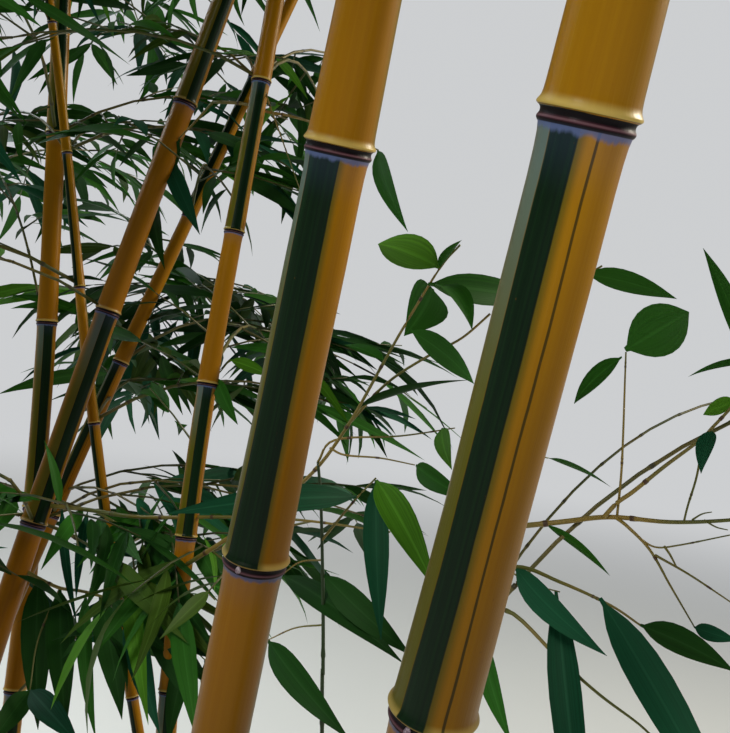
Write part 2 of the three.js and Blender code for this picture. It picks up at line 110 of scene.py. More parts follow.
# The masses of leaves, by the same rule as the solids.
SIDE_MASS_SPAN = 0.9
REACH_LOSS = 0.3
BRANCH_SPREAD = 50
HEADING_STEPS = (0, 10, -10, 20, -20, 30, -30, 40, -40)
ROOM_CHECKS = (0.25, 0.4, 0.55, 0.7, 0.85, 1)
CANE_ROOM = 2
SIDE_START = (0.52, 0.86)
SIDE_BOW = (0.26, -0.46)
TOP_REACH_SHARE = 0.62
TOP_BOW = (0.3, -0.28)
STEM_RADIUS = 5
STEM_TO_CANE = 0.7
STEM_STATIONS = (0, 0.05, 0.38, 0.7, 1)
TWIG_PLACES = (0.3, 0.52, 0.74)
TWIG_RADIUS = 3.4
TWIG_ANGLE = (52, 16)
TWIG_RISE = (0.11, 1.1)
TWIG_REACH = (1, 0.3)
TWIG_SHARE = (0.46, 0.19)
TWIG_LEAVES = ((0.42, 1), (0.62, -1), (0.8, 1), (0.95, -1))
STEM_LEAVES = ((0.86, 1), (0.94, -1), (0.985, 1))
SPRAY_LENGTH = 235
SPRAY_WIDTH = 42
SPRAY_ROOT = 2
WIDEST_SHARE = 0.4
SPRAY_ANGLE = (42, 20)
SPRAY_DROOP = (0.5, 0.5)
SPRAY_ROLL = (0, 130)
SPRAY_REACH = (1, 0.4)
TRIES = 8
PATH_STEP = 12
SPACE_MARGIN = 4
LIMB_MARGIN = 4
TIP_CLEARANCE = 20
SPRAY_GAP = 12
SPRAY_CHECKS = (0.35, 0.5, 0.65, 0.8, 1)
FIRST_SEED = 1201
FIRST_NODE_SEED = 1701


def unit(vector):
    return vector / np.linalg.norm(vector)


def units(vectors):
    return vectors / np.linalg.norm(vectors, axis=-1, keepdims=True)


def sizes(vectors):
    return np.linalg.norm(vectors, axis=-1)


def turns(sides):
    return np.linspace(0, FULL_TURN, sides, endpoint=False)


def compass(angle):
    return np.array([math.cos(angle), math.sin(angle), 0.0])


def turned(vector, axis, angle):
    return vector * math.cos(angle) + np.cross(axis, vector) * math.sin(angle)


def alternate(number):
    """1 for an even number and -1 for an odd one."""
    return 1 if number % 2 == 0 else -1


def seeded_numbers(seed):
    state = seed
    while True:
        state = state * 16807 % 2147483647
        yield state / 2147483647


def vary(spread, numbers):
    middle, width = spread
    return middle + width * (next(numbers) - 0.5)


def share_of_height(cane, height):
    return (height - SOIL_TOP) / (cane.tip[2] - SOIL_TOP)


def cane_point(cane, height):
    """The middle of the cane at one height or at several."""
    height = np.asarray(height, dtype=float)
    rise = height - EYE_LEVEL
    drop = SOIL_TOP - EYE_LEVEL
    climb = cane.tip[2] - EYE_LEVEL
    place = []
    for axis in (0, 1):
        straight = cane.sight[axis] + cane.lean[axis] * rise
        bend = cane.foot[axis] - cane.sight[axis] - cane.lean[axis] * drop
        bow = cane.tip[axis] - cane.sight[axis] - cane.lean[axis] * climb
        low = straight + bend * (rise / drop) ** 2
        high = straight + bow * np.maximum(rise / climb, 0) ** BOW_POWER
        place.append(np.where(rise <= 0, low, high))
    return np.stack([*place, height], axis=-1)


def cane_direction(cane, height):
    above = cane_point(cane, np.minimum(height + SLOPE_STEP, cane.tip[2]))
    below = cane_point(cane, np.maximum(height - SLOPE_STEP, SOIL_TOP))
    return units(above - below)


def cane_taper(share):
    return 1 - (1 - TIP_SHARE) * np.maximum(share, 0) ** TAPER_POWER


def cane_radius(cane, height):
    at_sight = cane_taper(share_of_height(cane, EYE_LEVEL))
    flare = 1 + FLARE_SHARE * np.exp(-(height - SOIL_TOP) / FLARE_HEIGHT)
    return cane.diameter / 2 * flare * cane_taper(share_of_height(cane, height)) / at_sight


def internode_length(cane, height):
    offset = (share_of_height(cane, height) - INTERNODE_PEAK) / INTERNODE_SPREAD
    return cane.internode * (1 - offset * offset)


def node_heights(cane):
    heights = [cane.node]
    height = cane.node
    while height + internode_length(cane, height) < cane.tip[2] - LAST_NODE_GAP:
        height += internode_length(cane, height + internode_length(cane, height) / 2)
        heights.append(height)
    height = cane.node
    while height - internode_length(cane, height) > SOIL_TOP + FIRST_NODE_GAP:
        height -= internode_length(cane, height - internode_length(cane, height) / 2)
        heights.insert(0, height)
    return heights


class Mass:
    """A stem that starts at its cane and arches out: start + reach * (first * t + second * t * t)."""

    def __init__(self, name, cane, start, facing, outward, first, second, reach, radius):
        self.name = name
        self.cane = cane
        self.start = start
        self.facing = facing
        self.outward = outward
        self.first = first
        self.second = second
        self.reach = reach
        self.radius = radius
        self.line = np.array([self.curve(share) for share in STEM_STATIONS])

    def curve(self, share):
        return self.start + self.reach * (self.first * share + self.second * share * share)

    def on_line(self, share):
        after = next(i for i, station in enumerate(STEM_STATIONS) if station >= share)
        low, high = STEM_STATIONS[after - 1], STEM_STATIONS[after]
        part = (share - low) / (high - low)
        return self.line[after - 1] * (1 - part) + self.line[after] * part

    def direction(self, share):
        return unit(self.first + self.second * 2 * share)


def out_and_up(outward, shares):
    return outward * shares[0] + UP * shares[1]


def outward_angle(cane):
    return math.atan2(cane.tip[1], cane.tip[0])


def flat_reach(cane, height, heading):
    corners = [math.cos(heading - FULL_TURN * side / cane.sides) for side in range(cane.sides)]
    return cane_radius(cane, height) * NODE_SWELL * max(corners)


def side_mass(cane, tier, heading):
    top = SOIL_TOP + SIDE_MASS_SPAN * (cane.tip[2] - SOIL_TOP)
    share = 0 if cane.side_masses == 1 else tier / (cane.side_masses - 1)
    wanted = cane.lowest + share * (top - cane.lowest)
    height = min(node_heights(cane), key=lambda node: abs(node - wanted))
    outward = compass(heading)
    along = cane_direction(cane, height)
    facing = unit(outward - along * outward.dot(along))
    gap = flat_reach(cane, height, heading) + CLEARANCE
    radius = min(STEM_RADIUS, STEM_TO_CANE * cane_radius(cane, height))
    return Mass(
        f"leaves_{cane.name}_{tier + 1}", cane, cane_point(cane, height) + facing * gap, facing, outward,
        out_and_up(outward, SIDE_START), out_and_up(outward, SIDE_BOW),
        cane.reach * (1 - REACH_LOSS * share), radius)


def top_mass(cane):
    height = cane.tip[2]
    facing = cane_direction(cane, height)
    outward = compass(outward_angle(cane))
    return Mass(
        f"leaves_{cane.name}_top", cane, cane_point(cane, height) + facing * CLEARANCE, facing, outward,
        facing, out_and_up(outward, TOP_BOW),
        cane.reach * TOP_REACH_SHARE, min(STEM_RADIUS, cane_radius(cane, height)))


def distance_to_lines(points, starts, ends):
    """Distances from each point to each straight piece, as rows and columns."""
    runs = ends - starts
    shares = ((points[:, None, :] - starts) * runs).sum(-1) / (runs * runs).sum(-1)
    nearest = starts + np.clip(shares, 0, 1)[..., None] * runs
    return sizes(points[:, None, :] - nearest)


def distance_to_stems(points, masses):
    starts = np.concatenate([mass.line[:-1] for mass in masses])
    ends = np.concatenate([mass.line[1:] for mass in masses])
    return distance_to_lines(points, starts, ends).reshape(len(points), len(masses), -1).min(-1)


def room_round(mass, placed):
    points = np.array([mass.on_line(share) for share in ROOM_CHECKS])
    room = distance_to_stems(points, placed).min()
    for cane in CANES:
        below = points[points[:, 2] <= cane.tip[2]]
        if len(below):
            gaps = sizes(cane_point(cane, below[:, 2]) - below)
            room = min(room, CANE_ROOM * gaps.min())
    return room


def roomiest_side_mass(cane, tier, placed):
    middle = outward_angle(cane) + cane.turn * alternate(tier) * math.radians(BRANCH_SPREAD)
    choices = [side_mass(cane, tier, middle + math.radians(step)) for step in HEADING_STEPS]
    return max(choices, key=lambda choice: room_round(choice, placed))


def all_masses():
    placed = [top_mass(cane) for cane in CANES]
    for cane in CANES:
        for tier in range(cane.side_masses):
            placed.append(roomiest_side_mass(cane, tier, placed))
    return placed


def in_own_space(points, mass, masses):
    distances = distance_to_stems(points, masses)
    own = masses.index(mass)
    others = np.delete(distances, own, axis=1)
    return bool((others.min(-1) > distances[:, own] + SPACE_MARGIN).all())


def clear_of_canes(points, thickness):
    for cane in CANES:
        near = points[points[:, 2] <= cane.tip[2] + TIP_CLEARANCE]
        heights = np.minimum(near[:, 2], cane.tip[2])
        allowed = cane_radius(cane, heights) * NODE_SWELL + thickness + LIMB_MARGIN
        if (sizes(cane_point(cane, heights) - near) <= allowed).any():
            return False
    return True


def path_is_free(start, end, thickness, mass, masses):
    steps = math.ceil(np.linalg.norm(end - start) / PATH_STEP)
    shares = np.arange(1, steps + 1)[:, None] / steps
    points = start + (end - start) * shares
    return clear_of_canes(points, thickness) and in_own_space(points, mass, masses)


def twig_run(mass, share, side, numbers):
    along = mass.direction(share)
    sideways = np.cross(UP, mass.outward) * side
    angle = math.radians(vary(TWIG_ANGLE, numbers))
    rise = vary(TWIG_RISE, numbers)
    direction = unit(along * math.cos(angle) + sideways * math.sin(angle) + UP * rise)
    full = mass.reach * (TWIG_SHARE[0] - TWIG_SHARE[1] * share)
    start = mass.on_line(share)
    return start, start + direction * full * vary(TWIG_REACH, numbers)


def spray_pose(point, along, side, numbers):
    """The run of one spray: its root, its tip and the way it lies flat."""
    sideways = unit(np.cross(UP, along))
    angle = side * math.radians(vary(SPRAY_ANGLE, numbers))
    droop = vary(SPRAY_DROOP, numbers)
    direction = unit(along * math.cos(angle) + sideways * math.sin(angle) - UP * droop)
    level = unit(np.cross(UP, direction))
    across = turned(level, direction, math.radians(vary(SPRAY_ROLL, numbers)))
    length = SPRAY_LENGTH * vary(SPRAY_REACH, numbers)
    return point - direction * SPRAY_ROOT, point + direction * length, across


def spray_is_free(pose, mass, masses, neighbours):
    root, tip, across = pose
    half = SPRAY_WIDTH / 2
    middle = root + (tip - root) * WIDEST_SHARE
    edges = np.array([middle - across * half, middle + across * half])
    if not path_is_free(root, tip, half, mass, masses) or not in_own_space(edges, mass, masses):
        return False
    if not neighbours:
        return True
    points = root + (tip - root) * np.array(SPRAY_CHECKS)[:, None]
    starts, ends = (np.array(places) for places in zip(*neighbours))
    return bool((distance_to_lines(points, starts, ends) > SPRAY_GAP).all())


def first_free(make, is_free):
    for _ in range(TRIES):
        made = make()
        if is_free(made):
            return made
    return None


def grow(mass, masses, seed):
    """The twigs and sprays of a mass, as (start, end) and (root, tip, across)."""
    numbers = seeded_numbers(seed)
    twigs, sprays, neighbours = [], [], []

    def try_spray(point, along, side):
        pose = first_free(lambda: spray_pose(point, along, side, numbers),
                          lambda made: spray_is_free(made, mass, masses, neighbours))
        if pose:
            sprays.append(pose)
            neighbours.append(pose[:2])

    for index, share in enumerate(TWIG_PLACES):
        run = first_free(lambda: twig_run(mass, share, alternate(index), numbers),
                         lambda made: path_is_free(*made, TWIG_RADIUS, mass, masses))
        if run:
            start, end = run
            twigs.append(run)
            neighbours.append(run)
            for place, side in TWIG_LEAVES:
                try_spray(start + (end - start) * place, unit(end - start), side)
    for place, side in STEM_LEAVES:
        try_spray(mass.on_line(place), mass.direction(place), side)
    return twigs, sprays


# Meshes.
def triples(first, second, third):
    """Three values for each point, side by side."""
    return np.stack(np.broadcast_arrays(first, second, third), -1).reshape(-1, 3)


def make_object(name, points, faces, skins, slot, nodes=(), attributes=None, skin_of_face=None, smooth=True):
    """A mesh object from points in millimetres and face arrays of one width each."""
    mesh = bpy.data.meshes.new(name)
    points = np.reshape(points, (-1, 3))
    corners = np.concatenate([part.ravel() for part in faces]).astype(np.int32)
    widths = np.concatenate([np.full(len(part), part.shape[1]) for part in faces])
    starts = np.concatenate([[0], np.cumsum(widths)[:-1]])
    mesh.vertices.add(len(points))
    mesh.vertices.foreach_set("co", (points * MM).astype(np.float32).ravel())
    mesh.loops.add(len(corners))
    mesh.loops.foreach_set("vertex_index", corners)
    mesh.polygons.add(len(widths))
    mesh.polygons.foreach_set("loop_start", starts.astype(np.int32))
    mesh.update(calc_edges=True)
    mesh.polygons.foreach_set("use_smooth", np.full(len(widths), smooth))
    for title, values in (attributes or {}).items():
        layer = mesh.attributes.new(title, "FLOAT_VECTOR", "POINT")
        layer.data.foreach_set("vector", values.astype(np.float32).ravel())
    for skin in skins:
        mesh.materials.append(skin)
    if skin_of_face is not None:
        mesh.polygons.foreach_set("material_index", skin_of_face.astype(np.int32))
    piece = bpy.data.objects.new(name, mesh)
    bpy.context.scene.collection.objects.link(piece)
    if slot:
        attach(piece, "root")
        if nodes:
            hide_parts(*nodes)
    return piece


def closed_faces(rows, sides, first=0, flipped=False):
    """Quads between rings of points, and a face at each end."""
    ring = first + np.arange(rows - 1)[:, None] * sides
    side = np.arange(sides)
    following = (side + 1) % sides
    quads = np.stack([ring + side, ring + following, ring + sides + following, ring + sides + side], -1)
    bottom = first + side[::-1]
    top = first + (rows - 1) * sides + side
    faces = [quads.reshape(-1, 4), bottom[None], top[None]]
    return [part[:, ::-1] for part in faces] if flipped else faces


# Pixels of the photograph and places in space.
def camera_axes():
    roll = math.radians(CAMERA_ROLL)
    pitch = math.radians(CAMERA_PITCH_DOWN)
    level_up = np.array([0.0, math.sin(pitch), math.cos(pitch)])
    right = EAST * math.cos(roll) + level_up * math.sin(roll)
    up = level_up * math.cos(roll) - EAST * math.sin(roll)
    return right, up, np.array([0.0, math.cos(pitch), -math.sin(pitch)])


CAMERA_RIGHT, CAMERA_UP, CAMERA_FORWARD = camera_axes()
PIXELS_PER_SLOPE = LENS / SENSOR * PHOTO_HEIGHT


def from_pixel(across, down, depth):
    sideways = (across - PHOTO_WIDTH / 2) / PIXELS_PER_SLOPE
    upward = (PHOTO_HEIGHT / 2 - down) / PIXELS_PER_SLOPE
    return CAMERA_PLACE + depth * (CAMERA_FORWARD + sideways * CAMERA_RIGHT + upward * CAMERA_UP)


def to_pixel(points):
    """Pixels across and down, and depths, of points in millimetres."""
    offset = points - CAMERA_PLACE
    depth = offset @ CAMERA_FORWARD
    safe = np.where(np.abs(depth) < 1, 1, depth)
    across = PHOTO_WIDTH / 2 + PIXELS_PER_SLOPE * (offset @ CAMERA_RIGHT) / safe
    down = PHOTO_HEIGHT / 2 - PIXELS_PER_SLOPE * (offset @ CAMERA_UP) / safe
    return across, down, depth


# Materials.
class Nodes:
    """A material's node tree, with short calls for the nodes used here."""

    def __init__(self, name, roughness, **settings):
        self.material = bpy.data.materials.new(name)
        self.material.use_nodes = True
        self.tree = self.material.node_tree
        self.shader = self.tree.nodes["Principled BSDF"]
        self.shader.inputs["Roughness"].default_value = roughness
        for title, value in settings.items():
            self.shader.inputs[title.replace("_", " ")].default_value = value

    def node(self, kind, inputs=(), **settings):
        """A node of that kind with its inputs linked or set, by number or by name."""
        node = self.tree.nodes.new("ShaderNode" + kind)
        for title, value in settings.items():
            setattr(node, title, value)
        for key, value in inputs:
            self.link(value, node.inputs[key])
        return node

    def link(self, source, target):
        if hasattr(source, "is_output"):
            self.tree.links.new(source, target)
        else:
            target.default_value = source

    def attribute(self, name):
        node = self.node("Attribute", attribute_name=name)
        return self.node("SeparateXYZ", [(0, node.outputs["Vector"])]).outputs

    def place(self):
        return self.node("TexCoord").outputs["Object"]

    def math(self, operation, *values, clamp=False):
        return self.node("Math", enumerate(values), operation=operation, use_clamp=clamp).outputs[0]

    def add(self, first, second):
        return self.math("ADD", first, second)

    def times(self, first, second):
        return self.math("MULTIPLY", first, second)

    def away(self, value, middle):
        """How far a value is from the middle."""
        return self.math("ABSOLUTE", self.math("SUBTRACT", value, middle))

    def vector(self, *values):
        return self.node("CombineXYZ", enumerate(values)).outputs[0]

    def noise(self, where, scale, detail=3.0, roughness=0.55):
        inputs = [("Vector", where), ("Scale", scale), ("Detail", detail), ("Roughness", roughness)]
        return self.node("TexNoise", inputs).outputs["Fac"]

    def step(self, value, low, high, start=0.0, end=1.0):
        """A smooth step from start to end while value runs from low to high."""
        inputs = [("Value", value), ("From Min", low), ("From Max", high), ("To Min", start), ("To Max", end)]
        return self.node("MapRange", inputs, interpolation_type="SMOOTHSTEP").outputs["Result"]

    def mix(self, share, first, second, blend="MIX"):
        inputs = [(0, share), (6, first), (7, second)]
        return self.node("Mix", inputs, data_type="RGBA", blend_type=blend).outputs[2]

    def two_tone(self, pattern, first, second):
        """Two colours dealt out by a pattern, with soft edges."""
        return self.mix(self.step(pattern, 0.35, 0.65), first, second)

    def colour(self, value):
        self.link(value, self.shader.inputs["Base Color"])

    def rough(self, value):
        self.link(value, self.shader.inputs["Roughness"])

    def bump(self, height, distance, strength):
        node = self.node("Bump", [("Strength", strength), ("Distance", distance), ("Height", height)])
        self.link(node.outputs[0], self.shader.inputs["Normal"])


def rgb(red, green, blue):
    """A colour for a shader from the eight-bit values seen on screen."""
    linear = []
    for part in (red / 255, green / 255, blue / 255):
        linear.append(part / 12.92 if part <= 0.04045 else ((part + 0.055) / 1.055) ** 2.4)
    return (*linear, 1.0)


CANE_YELLOW = rgb(184, 130, 4)
CANE_ORANGE = rgb(160, 100, 2)
CANE_OCHRE = rgb(128, 92, 6)
CANE_PALE = rgb(228, 202, 112)
# The flank colours: the grey-blue is painted cool sheen, the olive its own colour.
FLANK_SHEEN_GREY = rgb(84, 124, 120)
FLANK_LOW = rgb(88, 100, 18)
BAND_GREEN = rgb(4, 30, 10)
BAND_LIGHT = rgb(18, 56, 20)
BAND_EDGE = rgb(78, 84, 14)
# Black for the lower line of the scar and for painted shadow under the lip of a node.
SCAR_AND_SHADOW_BLACK = rgb(14, 8, 12)
SCAR_BROWN = rgb(58, 26, 36)
SCAR_PINK = rgb(132, 96, 104)
WAX_PALE = rgb(98, 114, 162)
SPECK_BROWN = rgb(120, 78, 30)

# How the skin changes, in degrees round the cane, in millimetres above and below a node on a cane
# of the first one's width, and in metres above the ground.
FLANK_SPREAD = (75, 20)
FLANK_TOP = 8
BAND_FADE = 15
GAP_LIMIT = 120
WAX_FADE = (6.4, 8.6)
BLOOM_FADE = (8, 30)
SCAR_FADE = (4.5, 4.9)
PINK_LINE = 3.5
LOWER_LINE = 4.8
# Painted shade on the canes: full below the first height in metres, gone above the second, with this tint.
SHADE_FADE = (1.04, 1.31)
SHADE_TINT = 0.96


def yellow_skin(nodes, fibre, coarse_fibre, blotch, below, age):
    """Yellow with orange and pale streaks, and browner towards the foot of an internode."""
    yellow = nodes.mix(nodes.step(coarse_fibre, 0.3, 0.7, 0, 0.3), CANE_YELLOW, CANE_ORANGE)
    yellow = nodes.mix(nodes.step(blotch, 0.5, 0.8, 0, 0.4), yellow, CANE_ORANGE)
    yellow = nodes.mix(nodes.step(fibre, 0.6, 0.85, 0, 0.2), yellow, CANE_PALE)
    yellow = nodes.mix(nodes.step(below, 20, GAP_LIMIT, 0, 0.3), yellow, CANE_OCHRE)
    return nodes.mix(nodes.times(age, 0.4), yellow, CANE_ORANGE)


def banded_skin(nodes, yellow, fibre, coarse_fibre, angle, band, line, above, below):
    """The yellow with a green flank beside the band, grey-blue near the node above as painted cool sheen, a
    pale foot above a node, and the green itself.
    """
    step, mix, times = nodes.step, nodes.mix, nodes.times
    start, end = band
    # Painted cool sheen: the flank strip beside the band is grey-blue near the node above it, olive lower
    # down.
    flank = times(step(angle, start - FLANK_SPREAD[0], start - FLANK_SPREAD[1]),
                  step(angle, start - 2, start + 2, 0.85, 0))
    yellow = mix(flank, yellow, mix(step(below, FLANK_TOP, GAP_LIMIT), FLANK_SHEEN_GREY, FLANK_LOW))
    yellow = mix(step(above, 1.2, 5, 0.7, 0), yellow, CANE_PALE)
    reach = step(above, 0.3, 1.2)
    soft_edge = times(step(angle, end, end + BAND_FADE, 0.75, 0), step(angle, end - 2, end))
    yellow = mix(times(soft_edge, reach), yellow, BAND_EDGE)
    green = mix(step(coarse_fibre, 0.4, 0.7, 0, 0.6), BAND_GREEN, BAND_LIGHT)
    green = mix(step(fibre, 0.5, 0.75, 0, 0.5), green, BAND_LIGHT)
    in_band = times(step(angle, start - 1, start + 1), step(angle, end - 1, end + 1, 1, 0))
    in_line = step(nodes.away(angle, line[0]), line[1] * 0.6, line[1] * 1.3, 0.8, 0)
    green_share = nodes.math("MULTIPLY", nodes.math("MAXIMUM", in_band, in_line), reach, clamp=True)
    return mix(green_share, yellow, green)


def waxed_skin(nodes, skin, wax, below):
    """Thick wax just below a node and a thin bloom further down."""
    skin = nodes.mix(wax, skin, WAX_PALE)
    return nodes.mix(nodes.step(below, *BLOOM_FADE, 0.08, 0), skin, WAX_PALE)


def scarred_skin(nodes, skin, above, below):
    """The brown scar of the sheath at a node, with a pink line in it, a black line below it, and black
    painted shadow in the dip between it and the lip above.
    """
    skin = nodes.mix(nodes.step(below, *SCAR_FADE, 1, 0), skin, SCAR_BROWN)
    skin = nodes.mix(nodes.step(nodes.away(below, PINK_LINE), 0.2, 0.55, 0.6, 0), skin, SCAR_PINK)
    lower_line = nodes.step(nodes.away(below, LOWER_LINE), 0.35, 0.75, 0.95, 0)
    # Painted shadow: black in the dip between the scar and the lip above the node.
    groove = nodes.math("MAXIMUM", nodes.step(below, 2.4, 2.9, 0.97, 0), nodes.step(above, 0.1, 0.4, 0.97, 0))
    return nodes.mix(nodes.math("MAXIMUM", lower_line, groove), skin, SCAR_AND_SHADOW_BLACK)


def cane_material(name, band, line, foot_shade_share, weathered_and_shaded):
    """Yellow cane skin: green bands in the groove, dark rings at the nodes with painted shadow under their
    lips, and wax below them.

    band is the start and end of the green band, and line the middle and half width of a thin green
    line beside it, all in degrees round the cane from the middle of the groove. Painted shade darkens
    the skin downwards: the fourth argument is how bright it leaves the skin low down, and the fifth
    how much of that painted shade, with a browner cast, stays high up.
    """
    nodes = Nodes(name, 0.34, Specular_IOR_Level=0.12, Coat_Weight=0.05, Coat_Roughness=0.2,
                  Sheen_Weight=0.08, Sheen_Roughness=0.3, Sheen_Tint=(1.0, 0.94, 0.8, 1.0))
    around = nodes.attribute("around")
    above, below, age = nodes.attribute("gaps")

    def drawn_out(stretch):
        return nodes.vector(around[0], around[1], nodes.times(around[2], stretch))

    fibre_place = drawn_out(0.5)
    fibre = nodes.noise(fibre_place, 24, 4, 0.6)
    coarse_fibre = nodes.noise(fibre_place, 7, 2)
    blotch = nodes.noise(drawn_out(9), 1.6, 4, 0.6)
    degrees = nodes.times(nodes.math("ARCTAN2", around[1], around[0]), 180 / math.pi)
    angle = nodes.add(degrees, nodes.times(nodes.math("SUBTRACT", blotch, 0.5), 5))
    skin = yellow_skin(nodes, fibre, coarse_fibre, blotch, below, age)
    skin = banded_skin(nodes, skin, fibre, coarse_fibre, angle, band, line, above, below)
    uneven = nodes.step(nodes.noise(fibre_place, 4, 2), 0.3, 0.7, -0.8, 0.8)
    wax = nodes.step(nodes.add(below, uneven), *WAX_FADE, 0.85, 0)
    skin = scarred_skin(nodes, waxed_skin(nodes, skin, wax, below), above, below)
    specks = nodes.step(nodes.noise(drawn_out(30), 9, 2), 0.74, 0.8, 0, 0.5)
    skin = nodes.mix(specks, skin, SPECK_BROWN)
    # Painted shade: darker and a little more orange low down, fading out between 1.04 and 1.31 metres, and
    # kept in part higher up on some canes, where it is browner.
    painted_shade = (foot_shade_share, foot_shade_share * (SHADE_TINT - 0.12 * weathered_and_shaded), foot_shade_share * SHADE_TINT, 1.0)
    shade_share = nodes.step(around[2], *SHADE_FADE, 1, weathered_and_shaded)
    nodes.colour(nodes.mix(shade_share, skin, nodes.mix(1.0, skin, painted_shade, "MULTIPLY")))
    nodes.rough(nodes.add(nodes.step(fibre, 0.3, 0.7, 0.32, 0.4), nodes.times(wax, 0.25)))
    nodes.bump(nodes.add(fibre, nodes.times(blotch, 0.6)), 0.00025, 0.35)
    return nodes.material


LEAF_TINTS = {
    "leaf_deep": rgb(22, 62, 14),
    "leaf_green": rgb(38, 90, 20),
    "leaf_bluish": rgb(18, 72, 46),
    "leaf_fresh": rgb(74, 128, 26),
    "leaf_olive": rgb(54, 80, 18),
    "leaf_dry": rgb(150, 118, 62),
}
DEEP, GREEN, BLUISH, FRESH, OLIVE, DRY = range(len(LEAF_TINTS))
TINT_SHARES = {DEEP: 0.33, GREEN: 0.37, BLUISH: 0.17, FRESH: 0.05, OLIVE: 0.08, DRY: 0}


def leaf_material(name, tint):
    """A blade with a paler midrib and fine veins along it."""
    nodes = Nodes(name, 0.55, Specular_IOR_Level=0.08)
    across, along, chance = nodes.attribute("blade")
    stripes = nodes.vector(nodes.times(across, 14), nodes.times(along, 0.6), chance)
    veins = nodes.noise(stripes, 1.0, 2)
    lighter = (*(min(1, part * 1.7 + 0.01) for part in tint[:3]), 1.0)
    darker = (*(part * 0.7 for part in tint[:3]), 1.0)
    skin = nodes.two_tone(veins, darker, tint)
    skin = nodes.mix(nodes.step(chance, 0, 1, 0, 0.35), skin, lighter)
    skin = nodes.mix(nodes.step(nodes.math("ABSOLUTE", across), 0.03, 0.12, 0.5, 0), skin, lighter)
    nodes.colour(skin)
    nodes.bump(veins, 0.0002, 0.4)
    return nodes.material


def twig_material():
    """Yellow to olive twigs, brown at their nodes, and green as far as their run says."""
    nodes = Nodes("twig_skin", 0.5)
    _, swell, green = nodes.attribute("run")
    blotch = nodes.noise(nodes.place(), 16, 2)
    skin = nodes.two_tone(blotch, rgb(140, 118, 50), rgb(92, 96, 34))
    skin = nodes.mix(nodes.step(swell, 0.5, 0.9), skin, rgb(74, 50, 30))
    nodes.colour(nodes.mix(green, skin, rgb(34, 56, 20)))
    nodes.bump(blotch, 0.0002, 0.4)
    return nodes.material


def clay_material():
    """Fired clay with a pale bloom, and damp at its foot."""
    nodes = Nodes("clay_skin", 0.85)
    place = nodes.place()
    cloud = nodes.noise(place, 5, 5, 0.6)
    grain = nodes.noise(place, 220, 3, 0.7)
    height = nodes.attribute("lathe")[0]
    skin = nodes.two_tone(cloud, rgb(168, 98, 66), rgb(190, 122, 86))
    bloom = nodes.times(nodes.step(cloud, 0.52, 0.7), nodes.step(height, 0.05, 0.45, 0.75, 0.15))
    skin = nodes.mix(bloom, skin, rgb(206, 184, 162))
    damp = nodes.times(nodes.step(height, 0, 0.07, 0.6, 0), nodes.step(grain, 0.3, 0.6))
    skin = nodes.mix(damp, skin, rgb(104, 66, 48))
    nodes.colour(nodes.mix(nodes.step(grain, 0.6, 0.75, 0, 0.35), skin, rgb(128, 74, 50)))
    nodes.bump(nodes.add(grain, cloud), 0.0006, 0.6)
    return nodes.material


def soil_material():
    nodes = Nodes("soil_skin", 0.95)
    place = nodes.place()
    lumps = nodes.noise(place, 46, 6, 0.7)
    fine = nodes.noise(place, 300, 3, 0.7)
    skin = nodes.two_tone(lumps, rgb(44, 31, 22), rgb(84, 62, 44))
    nodes.colour(nodes.mix(nodes.step(fine, 0.62, 0.72, 0, 0.6), skin, rgb(126, 104, 80)))
    nodes.bump(nodes.add(lumps, fine), 0.003, 0.8)
    return nodes.material


def chip_material():
    nodes = Nodes("bark_chip_skin", 0.9)
    grain = nodes.noise(nodes.place(), 130, 5, 0.65)
    nodes.colour(nodes.two_tone(grain, rgb(72, 46, 30), rgb(128, 88, 58)))
    nodes.bump(grain, 0.0015, 0.7)
    return nodes.material


def bud_material():
    nodes = Nodes("bud_skin", 0.5)
    mottle = nodes.noise(nodes.place(), 420, 3)
    nodes.colour(nodes.mix(nodes.step(mottle, 0.4, 0.6), rgb(168, 158, 164), rgb(104, 82, 96)))
    return nodes.material


BACKDROP = rgb(226, 228, 230)
BACKDROP_SEEN = 0.8
BACKDROP_LIGHT = 0.28
FLOOR_FADE = (2.6, 6.5)
FLOOR_REACH = 40000
FLOOR_SIDES = 96


def floor_material():
    """A pale floor that fades into the backdrop far from the plant."""
    nodes = Nodes("floor_skin", 0.9)
    cloud = nodes.noise(nodes.place(), 0.8, 3)
    nodes.colour(nodes.mix(cloud, rgb(206, 206, 202), rgb(212, 212, 208)))
    length = nodes.node("VectorMath", [(0, nodes.place())], operation="LENGTH").outputs["Value"]
    glow = nodes.node("Emission", [("Color", BACKDROP), ("Strength", BACKDROP_SEEN)])
    fade = nodes.node("MixShader", [
        (0, nodes.step(length, *FLOOR_FADE)), (1, nodes.shader.outputs[0]), (2, glow.outputs[0])])
    nodes.link(fade.outputs[0], nodes.tree.nodes["Material Output"].inputs["Surface"])
    return nodes.material


# The canes in full detail. The step out at a node is given for a cane of the first one's width, as
# distances above the node and shares of the radius.
DETAIL_RADIUS = 16
NODE_PROFILE = (
    (-60, 0), (-40, -0.01), (-24, -0.016), (-14, -0.008), (-8.5, 0.01), (-5.6, 0.04), (-5.1, 0.066),
    (-4.6, 0.09), (-4.0, 0.1), (-3.4, 0.092), (-2.8, 0.07), (-2.3, 0.055), (-1.6, 0.052), (-0.9, 0.062),
    (-0.3, 0.09), (0.1, 0.135), (0.5, 0.165), (1.0, 0.176), (1.6, 0.162), (2.4, 0.13), (3.4, 0.1),
    (5.0, 0.083), (8, 0.073), (14, 0.066), (26, 0.055), (44, 0.036), (64, 0.016), (85, 0),
)
INTERNODE_STEP = 24
GROOVE_DEPTH = 0.06
GROOVE_HALF_WIDTH = 50
GROOVE_START = 20
GROOVE_RUN = 30
LUMP_SIZE = 0.006
NEAR_SIDES = 64
FAR_SIDES = 28
SKIN_STRIPS = 5
